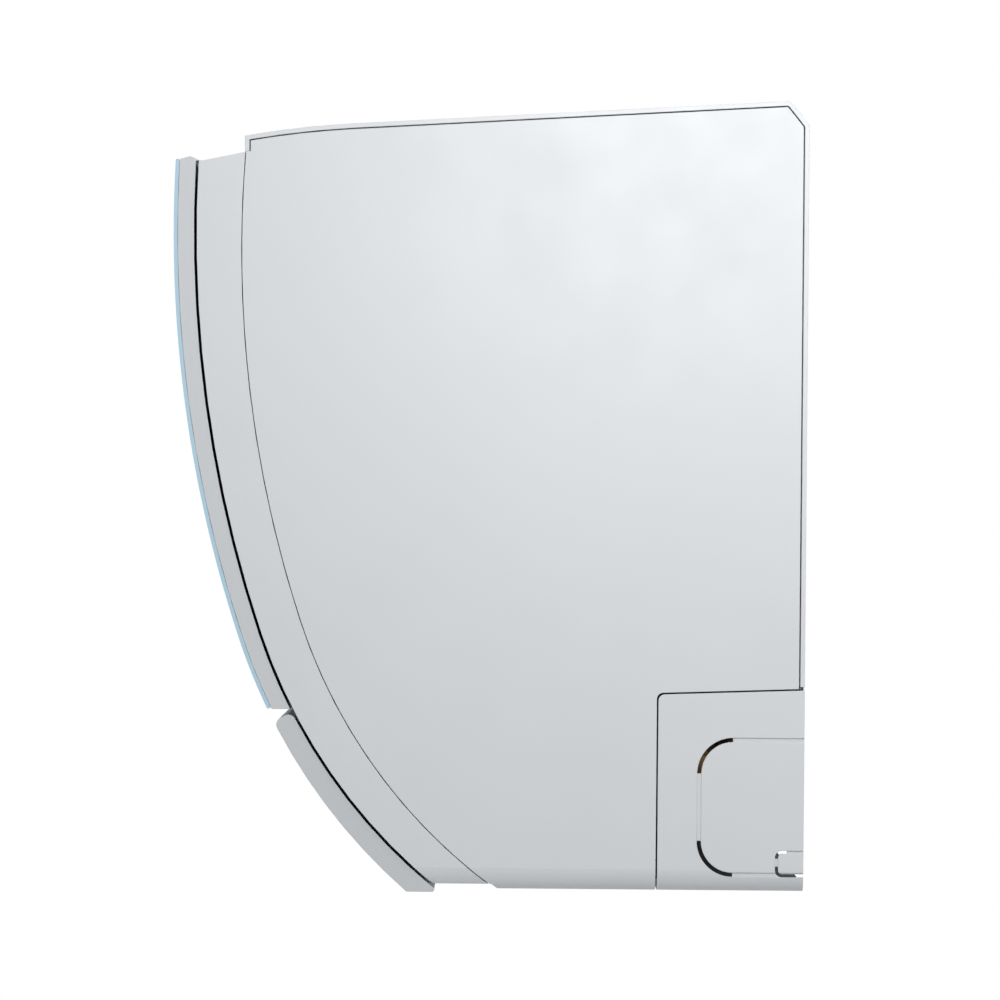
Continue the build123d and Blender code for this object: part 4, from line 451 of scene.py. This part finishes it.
def circuit_board(name, low_y):
    """Green board behind a depth, with copper runs under the lacquer and dark parts in front of it."""
    finish = Finish(name)
    runs = finish.add("ShaderNodeTexBrick", Vector=finish.stretched((1.0, 1.0, 1.0)), Scale=160.0)
    runs.inputs["Mortar Size"].default_value = 0.06
    lacquer = finish.mixed(runs.outputs["Fac"], (0.01, 0.10, 0.04, 1.0), (0.05, 0.24, 0.09, 1.0))
    depth = finish.add("ShaderNodeSeparateXYZ", Vector=finish.place).outputs["Y"]
    inside = finish.ranged(depth, 0.0, 1.0, low_y - 0.1 * MM, low_y)
    cells = finish.cells(70.0)
    grey = finish.add("ShaderNodeRGBToBW", Color=cells).outputs["Val"]
    parts = finish.mixed(grey, (0.02, 0.02, 0.025, 1.0), (0.10, 0.10, 0.11, 1.0))
    finish.join(finish.mixed(inside, parts, lacquer), "Base Color")
    finish.shader.inputs["Roughness"].default_value = 0.35
    finish.bumped(finish.noise(400.0), 0.02 * MM, 0.5, 0.2 * MM)
    return finish.material


def assign(material, *names):
    """Gives a finish to nodes of the frame."""
    for name in names:
        slots = NODES[name].data.materials
        slots.clear()
        slots.append(material)


def named(prefix):
    """The frame's nodes whose names start with a prefix."""
    return sorted(name for name in NODES if name.startswith(prefix))


# ---------------------------------------------------------------- pieces
def slab_frame(name):
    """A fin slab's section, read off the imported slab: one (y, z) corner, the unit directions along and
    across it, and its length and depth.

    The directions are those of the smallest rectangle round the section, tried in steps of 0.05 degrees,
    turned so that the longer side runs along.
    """
    mesh = NODES[name].data
    points = np.empty(len(mesh.vertices) * 3)
    mesh.vertices.foreach_get("co", points)
    section = np.unique(np.round(points.reshape(-1, 3)[:, 1:], 6), axis=0)
    middle = section.mean(axis=0)
    best = None
    for angle in np.radians(np.arange(0.0, 90.0, 0.05)):
        along = np.array([math.cos(angle), math.sin(angle)])
        across = np.array([-along[1], along[0]])
        spans = np.ptp((section - middle) @ along), np.ptp((section - middle) @ across)
        if best is None or spans[0] * spans[1] < best[0]:
            best = (spans[0] * spans[1], along, across)
    _, along, across = best
    reach_along, reach_across = (section - middle) @ along, (section - middle) @ across
    if np.ptp(reach_along) < np.ptp(reach_across):
        along, across = across, -along
        reach_along, reach_across = (section - middle) @ along, (section - middle) @ across
    corner = middle + along * reach_along.min() + across * reach_across.min()
    return corner, along, across, np.ptp(reach_along), np.ptp(reach_across)


def fin_stack(name, pitch, sheet, wave, waves=3):
    """Fins across a slab: each is a thin sheet, corrugated as wave * sin over its depth, along the slab."""
    corner, along, across, length, depth = slab_frame(name)
    low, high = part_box(name)
    count = int((high[0] - low[0] - sheet - 2 * wave) / pitch)
    first = (low[0] + high[0] - (count - 1) * pitch) / 2
    x = first + np.arange(count) * pitch
    steps = 2 * waves + 1
    share = np.linspace(0, 1, steps)
    ripple = wave * np.sin(share * waves * 2 * np.pi + np.pi / 2)
    side_x = np.concatenate([ripple - sheet / 2, ripple[::-1] + sheet / 2])
    side_depth = np.concatenate([share, share[::-1]]) * depth
    stations = np.array([0.0, 1.0]) * length
    points = np.empty((count, 2, 2 * steps, 3))
    points[..., 0] = x[:, None, None] + side_x
    yz = corner + stations[:, None, None] * along + side_depth[None, :, None] * across
    points[..., 1:] = yz
    return bars(points)


def thread(centres, across, out, width):
    """Square threads: centres[thread, station] with a section of the given width, set by two unit ways."""
    corner = np.array([(-1, -1), (1, -1), (1, 1), (-1, 1)]) * width / 2
    shift = corner[:, :1] * across[..., None, :] + corner[:, 1:] * out[..., None, :]
    return bars(centres[..., None, :] + shift)


def filter_threads(name, pitch, width):
    """A filter net: level threads at equal angles, crossed by threads that follow the curve."""
    low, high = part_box(name)
    top, bottom = front_angle(high[2], NET_OUT), front_angle(low[2], NET_OUT)
    step = pitch / CHIN_RADIUS
    rows = np.arange(top + step / 4, bottom, pitch / FACE_RADIUS)
    level = front_point(rows, NET_OUT - width / 2)
    centres = np.empty((len(rows), 2, 3))
    centres[:, 0, 0], centres[:, 1, 0] = low[0], high[0]
    centres[:, :, 1:] = level[:, None, :]
    normal = np.stack([np.zeros_like(rows), -np.cos(rows), -np.sin(rows)], axis=-1)[:, None, :]
    tangent = np.stack([np.zeros_like(rows), np.sin(rows), -np.cos(rows)], axis=-1)[:, None, :]
    across, out = np.broadcast_to(tangent, centres.shape), np.broadcast_to(normal, centres.shape)
    level_threads = thread(centres, across, out, width)
    bend = np.linspace(top, bottom, 14)
    columns = np.arange(low[0] + pitch / 2, high[0], pitch)
    curve = front_point(bend, NET_OUT + width / 2)
    centres = np.empty((len(columns), len(bend), 3))
    centres[..., 0] = columns[:, None]
    centres[..., 1:] = curve
    normal = np.stack([np.zeros_like(bend), -np.cos(bend), -np.sin(bend)], axis=-1)
    across, out = np.broadcast_to((1.0, 0.0, 0.0), centres.shape), np.broadcast_to(normal, centres.shape)
    upright = thread(centres, across, out, width)
    return [level_threads, upright]


def fan_blades(axis, inner, outer, stations, count, sheet, skew):
    """Blades of every cell, from inner to outer radius, curved forward and thickest in the middle."""
    share = 0.5 - 0.5 * np.cos(np.linspace(0, np.pi, 9))
    radius = inner + (outer - inner) * share
    lead = np.radians(-6.0 + 13.5 * share**1.6)
    half = sheet / 2 * (0.25 + 0.75 * np.sin(np.pi * share) ** 0.8) / radius
    ring_radius = np.concatenate([radius, radius[::-1]])
    ring_angle = np.concatenate([lead - half, (lead + half)[::-1]])
    turn = np.arange(count) * 2 * np.pi / count
    parts = []
    for cell, (start, end) in enumerate(zip(stations, stations[1:])):
        x = np.array([start, end])
        twist = np.array([0.0, skew]) + cell * 0.04
        angle = ring_angle + turn[:, None, None] + twist[None, :, None]
        points = np.empty((count, 2, len(ring_radius), 3))
        points[..., 0] = x[None, :, None]
        points[..., 1] = axis[0] + ring_radius * np.cos(angle)
        points[..., 2] = axis[1] + ring_radius * np.sin(angle)
        parts.append(bars(points))
    return parts


def disc(start, end, inner, outer, axis, edge, segments=96):
    """A ring or disc about the fan's axis, with its rim rounded as a quarter arc at each side."""
    turn = np.linspace(0, np.pi / 2, 4)
    left = np.stack([start + edge - edge * np.cos(turn), outer - edge + edge * np.sin(turn)], axis=-1)
    right = np.stack([end - edge + edge * np.sin(turn), outer - edge + edge * np.cos(turn)], axis=-1)
    profile = np.concatenate([[(start, inner)], left, right, [(end, inner)]])
    return turned(profile, axis, segments)


def skin_section(thickness, edge):
    """The clear sheet's section: outer arc down the face and chin, inner arc back, corners rounded off."""
    low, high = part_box("front_panel_skin")
    top = front_angle(high[2] - 0.2 * MM, SKIN_OUT)
    bottom = front_angle(low[2] + 0.2 * MM, SKIN_OUT)
    main = np.linspace(top, bottom, 60)
    front = front_point(main, SKIN_OUT)
    back = front_point(main[::-1], SKIN_OUT - thickness)
    tip = front_point(np.array([bottom + edge / CHIN_RADIUS]), SKIN_OUT - thickness / 2)
    crown = front_point(np.array([top - edge / FACE_RADIUS]), SKIN_OUT - thickness / 2)
    return np.concatenate([front, tip, back, crown])


# ---------------------------------------------------------------- operators
class AIRCON_OT_casing(bpy.types.Operator):
    """Moulded shells: top, sides, pipe corners, front frame, screw caps and button"""

    bl_idname = "aircon.casing"
    bl_label = "Casing"

    def execute(self, context):
        colours, sizes = context.scene.unit_colours, context.scene.unit_sizes
        shell = moulded_plastic("shell_plastic", colours.shell, rounding=sizes.edge_round)
        assign(shell, "top_shell", "front_frame", "screw_caps", "manual_button")
        assign(shell, *named("side_cover"), *named("corner_cover"))
        return {"FINISHED"}


class AIRCON_OT_front_panel(bpy.types.Operator):
    """Front panel: rear moulding and the clear sheet over it"""

    bl_idname = "aircon.front_panel"
    bl_label = "Front panel"

    def execute(self, context):
        colours, sizes = context.scene.unit_colours, context.scene.unit_sizes
        carrier = moulded_plastic("panel_plastic", colours.carrier, rounding=sizes.edge_round)
        assign(carrier, "front_panel_carrier")
        low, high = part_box("front_panel_skin")
        section = skin_section(sizes.skin_sheet, 0.4 * MM)
        ends = np.array([low[0], high[0]])
        points = np.empty((1, 2, len(section), 3))
        points[..., 0] = ends[None, :, None]
        points[..., 1:] = section
        sheet = clear_sheet("clear_acrylic", colours.skin)
        piece = make_piece("clear_panel_sheet", [bars(points)], "front_panel", sheet)
        # The sawn edges get the pale blue of painted light, the glow gathered through the sheet.
        piece.data.materials.append(frosted_edge("acrylic_edge_glow", colours.edge))
        for face in piece.data.polygons:
            face.material_index = int(abs(face.normal.x) > 0.5)
        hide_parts("front_panel_skin")
        return {"FINISHED"}


class AIRCON_OT_flap(bpy.types.Operator):
    """Air flap: outer moulding and inner plate with its arms"""

    bl_idname = "aircon.flap"
    bl_label = "Air flap"

    def execute(self, context):
        colours, sizes = context.scene.unit_colours, context.scene.unit_sizes
        flap = moulded_plastic("flap_plastic", colours.flap, rounding=sizes.edge_round)
        assign(flap, "flap_outer", "flap_inner")
        return {"FINISHED"}


class AIRCON_OT_air_path(bpy.types.Operator):
    """Chassis, outlet duct, vanes, links and the drain pan's liner"""

    bl_idname = "aircon.air_path"
    bl_label = "Chassis and air path"

    def execute(self, context):
        colours = context.scene.unit_colours
        # The near-black chassis and motor clamp stand in for the shade inside the unit: painted shade.
        assign(moulded_plastic("chassis_painted_shade_plastic", colours.chassis, 0.45), "rear_chassis", "motor_clamp")
        inner = moulded_plastic("air_path_plastic", colours.inner, 0.5)
        assign(inner, "outlet_duct", *named("vane_left"), *named("vane_right"), *named("vane_link"))
        assign(soft_rubber("liner_foam", (0.72, 0.74, 0.74, 1.0)), "pan_liner")
        return {"FINISHED"}


class AIRCON_OT_fan(bpy.types.Operator):
    """Cross-flow fan with curved blades, and its shaft, bearing and motor"""

    bl_idname = "aircon.fan"
    bl_label = "Fan and motor"

    def execute(self, context):
        colours, sizes = context.scene.unit_colours, context.scene.unit_sizes
        low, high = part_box("fan_rotor")
        radius = (high[1] - low[1]) / 2
        axis = ((high[1] + low[1]) / 2, (high[2] + low[2]) / 2)
        left, right = low[0] + FAN_STUB, high[0]
        stations = np.linspace(left, right, FAN_CELLS + 1)
        inner = radius - FAN_BLADE_DEPTH
        sheet, skew = sizes.blade_sheet, sizes.blade_skew
        parts = fan_blades(axis, inner + 0.6 * MM, radius - 0.8 * MM, stations, FAN_BLADES, sheet, skew)
        parts.append(disc(left, left + FAN_DISC, 0.5 * MM, radius, axis, FAN_RIM_ROUND))
        parts.append(disc(right - FAN_DISC, right, FAN_SHAFT, radius, axis, FAN_RIM_ROUND))
        for middle in stations[1:-1]:
            start, end = middle - FAN_RING / 2, middle + FAN_RING / 2
            parts.append(disc(start, end, inner, radius, axis, FAN_RIM_ROUND))
        hub_start, hub_end = right - FAN_HUB_LENGTH, right - FAN_DISC / 2
        parts.append(disc(hub_start, hub_end, FAN_SHAFT, FAN_HUB, axis, 0.8 * MM, 48))
        parts.append(disc(low[0], left + FAN_DISC / 2, 0.3 * MM, FAN_SHAFT, axis, 0.5 * MM, 32))
        plastic = moulded_plastic("fan_plastic", colours.fan, 0.5, 900.0, 0.02, 0.15 * MM)
        piece = make_piece("cross_flow_fan", parts, "fan", plastic)
        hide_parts("fan_rotor")
        steel = drawn_metal("bright_steel", (0.55, 0.56, 0.57, 1.0), (0.40, 0.39, 0.37, 1.0))
        assign(steel, "fan_shaft", "casing_screws")
        assign(soft_rubber("mount_rubber", (0.03, 0.03, 0.032, 1.0)), "fan_bearing", "motor_mounts")
        motor = moulded_plastic("motor_resin", (0.045, 0.047, 0.05, 1.0), 0.42, 700.0, 0.03)
        assign(motor, "fan_motor", "flap_motor", *named("vane_motor"))
        return {"FINISHED"}


class AIRCON_OT_fins(bpy.types.Operator):
    """Aluminium fin stacks of the heat exchanger"""

    bl_idname = "aircon.fins"
    bl_label = "Fin stacks"

    def execute(self, context):
        sizes = context.scene.unit_sizes
        bright, dull = (0.74, 0.76, 0.78, 1.0), (0.60, 0.62, 0.63, 1.0)
        aluminium = drawn_metal("fin_aluminium", bright, dull, 0.34, (700.0, 60.0, 60.0))
        for name in FIN_NODES:
            stack = fin_stack(name, sizes.fin_pitch, sizes.fin_sheet, sizes.fin_wave)
            piece = make_piece(name.replace("coil", "fins"), [stack], "casing", aluminium)
            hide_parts(name)
        return {"FINISHED"}


class AIRCON_OT_refrigerant(bpy.types.Operator):
    """Copper circuit, pipes, flare nuts and end plates"""

    bl_idname = "aircon.refrigerant"
    bl_label = "Refrigerant circuit"

    def execute(self, context):
        copper = drawn_metal("copper_tube", (0.78, 0.36, 0.22, 1.0), (0.42, 0.20, 0.13, 1.0))
        assign(copper, "coil_tubes", "gas_pipe", "liquid_pipe", "pipe_sensor")
        bright, dull = (0.78, 0.56, 0.25, 1.0), (0.60, 0.42, 0.18, 1.0)
        brass = drawn_metal("turned_brass", bright, dull, 0.25, (900.0, 40.0, 40.0))
        assign(brass, "gas_flare_nut", "liquid_flare_nut")
        tinned = sheet_metal("tinned_sheet", (0.68, 0.70, 0.71, 1.0), 260.0, 0.32, 0.10)
        assign(tinned, *named("coil_end_plate"))
        return {"FINISHED"}


class AIRCON_OT_filters(bpy.types.Operator):
    """Air filters: lattice frames and their woven nets"""

    bl_idname = "aircon.filters"
    bl_label = "Air filters"

    def execute(self, context):
        colours, sizes = context.scene.unit_colours, context.scene.unit_sizes
        assign(moulded_plastic("filter_plastic", colours.filters, 0.5), *named("filter_frame"))
        nylon = moulded_plastic("net_nylon", colours.net, 0.45, 3000.0, 0.005, 0.0)
        for side in FILTER_SIDES:
            threads = filter_threads(f"filter_net_{side}", sizes.net_pitch, sizes.net_thread)
            piece = make_piece(f"net_threads_{side}", threads, "casing", nylon)
            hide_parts(f"filter_net_{side}")
        return {"FINISHED"}


class AIRCON_OT_electrics(bpy.types.Operator):
    """Control box, boards, terminal block, display and sensors"""

    bl_idname = "aircon.electrics"
    bl_label = "Electrics"

    def execute(self, context):
        tinned = sheet_metal("box_sheet", (0.62, 0.64, 0.65, 1.0), 180.0, 0.36, 0.12)
        assign(tinned, "control_box", "control_box_cover")
        board_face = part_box("main_board")[1][1] - 7.8 * MM
        assign(circuit_board("main_board_lacquer", board_face), "main_board")
        display_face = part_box("display_board")[0][1]
        assign(circuit_board("display_board_lacquer", display_face), "display_board")
        resin = moulded_plastic("terminal_resin", (0.70, 0.66, 0.55, 1.0), 0.4)
        assign(resin, "terminal_block", "room_sensor")
        assign(smoked_window("smoked_lens"), "display_window")
        return {"FINISHED"}


class AIRCON_OT_wall_plate(bpy.types.Operator):
    """Zinc plated mounting plate"""

    bl_idname = "aircon.wall_plate"
    bl_label = "Mounting plate"

    def execute(self, context):
        assign(sheet_metal("zinc_sheet", (0.60, 0.61, 0.62, 1.0)), "mounting_plate")
        return {"FINISHED"}


class AIRCON_OT_stage(bpy.types.Operator):
    """Pale floor, soft lights and the camera"""

    bl_idname = "aircon.stage"
    bl_label = "Stage"

    def execute(self, context):
        studio = context.scene.unit_studio
        make_floor(studio.floor_drop)
        make_sky(context.scene, studio.ambient)
        reach = CAD_HIGH[0]
        make_light("key_light", (reach + 0.65, 0.0, 0.20), (reach, 0.0, 0.05), 0.25, studio.key)
        make_light("front_fill", (-0.6, -2.6, 1.5), (0.0, -0.1, 0.0), 2.4, studio.fill)
        make_light("left_fill", (-2.4, -0.9, 1.2), (0.0, -0.1, 0.0), 2.0, studio.fill * 0.6)
        make_light("top_light", (0.0, -0.3, 3.0), (0.0, -0.1, 0.0), 3.0, studio.top)
        make_light("back_fill", (0.5, 2.4, 1.0), (0.0, 0.0, 0.0), 2.0, studio.fill * 0.5)
        make_camera(context.scene, studio)
        context.scene.view_settings.view_transform = "Standard"
        context.scene.view_settings.look = "None"
        return {"FINISHED"}


def make_floor(drop, half=12.0):
    """A wide flat floor with a faint plaster tone."""
    mesh = bpy.data.meshes.new("floor")
    corners = [(-half, -half, -drop), (half, -half, -drop), (half, half, -drop), (-half, half, -drop)]
    mesh.from_pydata(corners, [], [(0, 1, 2, 3)])
    finish = Finish("pale_floor")
    tone = finish.noise(0.8, 4.0)
    finish.join(finish.mixed(tone, (0.82, 0.83, 0.84, 1.0), (0.86, 0.87, 0.88, 1.0)), "Base Color")
    finish.shader.inputs["Roughness"].default_value = 0.9
    mesh.materials.append(finish.material)
    floor = bpy.data.objects.new("floor", mesh)
    bpy.context.scene.collection.objects.link(floor)


def make_sky(scene, strength):
    """White surroundings, with a softer share of light on the unit."""
    world = bpy.data.worlds.new("studio_white")
    world.use_nodes = True
    tree = world.node_tree
    shown = tree.nodes["Background"]
    shown.inputs["Color"].default_value = (1.0, 1.0, 1.0, 1.0)
    lit = tree.nodes.new("ShaderNodeBackground")
    lit.inputs["Color"].default_value = (0.97, 0.985, 1.0, 1.0)
    lit.inputs["Strength"].default_value = strength
    mix = tree.nodes.new("ShaderNodeMixShader")
    seen = tree.nodes.new("ShaderNodeLightPath")
    tree.links.new(seen.outputs["Is Camera Ray"], mix.inputs["Fac"])
    tree.links.new(lit.outputs["Background"], mix.inputs[1])
    tree.links.new(shown.outputs["Background"], mix.inputs[2])
    tree.links.new(mix.outputs["Shader"], tree.nodes["World Output"].inputs["Surface"])
    scene.world = world


def turned_to(place, target, roll=0.0):
    """A rotation that looks from a place at a target, rolled about the view."""
    way = Vector(target) - Vector(place)
    return way.to_track_quat("-Z", "Y") @ Quaternion((0, 0, 1), roll)


def make_light(name, place, target, size, power):
    """A square soft light aimed at a point, itself out of the picture."""
    light = bpy.data.lights.new(name, "AREA")
    light.shape = "SQUARE"
    light.size = size
    light.energy = power
    lamp = bpy.data.objects.new(name, light)
    lamp.location = place
    lamp.rotation_mode = "QUATERNION"
    lamp.rotation_quaternion = turned_to(place, target)
    lamp.visible_camera = False
    bpy.context.scene.collection.objects.link(lamp)


def make_camera(scene, studio):
    """A long lens square on to the right-hand end of the unit."""
    camera = bpy.data.cameras.new("camera")
    camera.lens = studio.lens
    camera.sensor_width = 36.0
    camera.clip_end = 100.0
    place = (CAD_HIGH[0] + studio.camera_gap, studio.look_y, studio.look_z)
    holder = bpy.data.objects.new("camera", camera)
    holder.location = place
    holder.rotation_mode = "QUATERNION"
    holder.rotation_quaternion = turned_to(place, (0.0, studio.look_y, studio.look_z), studio.roll)
    scene.collection.objects.link(holder)
    scene.camera = holder


OPERATORS = (
    AIRCON_OT_casing,
    AIRCON_OT_front_panel,
    AIRCON_OT_flap,
    AIRCON_OT_air_path,
    AIRCON_OT_fan,
    AIRCON_OT_fins,
    AIRCON_OT_refrigerant,
    AIRCON_OT_filters,
    AIRCON_OT_electrics,
    AIRCON_OT_wall_plate,
    AIRCON_OT_stage,
)


class AIRCON_PT_panel(bpy.types.Panel):
    """Lists the sizes, the colours and one button for each group of pieces"""

    bl_idname = "AIRCON_PT_panel"
    bl_label = "Air Conditioner"
    bl_space_type = "VIEW_3D"
    bl_region_type = "UI"
    bl_category = "Air Conditioner"

    def draw(self, context):
        for group in (context.scene.unit_sizes, context.scene.unit_colours, context.scene.unit_studio):
            column = self.layout.column(align=True)
            for name in group.__annotations__:
                column.prop(group, name)
        for operator in OPERATORS:
            self.layout.operator(operator.bl_idname)


GROUPS = {"unit_sizes": UnitSizes, "unit_colours": UnitColours, "unit_studio": UnitStudio}


def register():
    """Adds the classes and one set of values to every scene."""
    for kind in (*GROUPS.values(), *OPERATORS, AIRCON_PT_panel):
        bpy.utils.register_class(kind)
    for name, kind in GROUPS.items():
        setattr(bpy.types.Scene, name, bpy.props.PointerProperty(type=kind))


def unregister():
    """Takes away what register added."""
    for name in GROUPS:
        delattr(bpy.types.Scene, name)
    for kind in reversed((*GROUPS.values(), *OPERATORS, AIRCON_PT_panel)):
        bpy.utils.unregister_class(kind)


def main():
    register()
    for operator in OPERATORS:
        group, name = operator.bl_idname.split(".")
        getattr(getattr(bpy.ops, group), name)()
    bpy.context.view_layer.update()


if __name__ == "__main__":
    main()
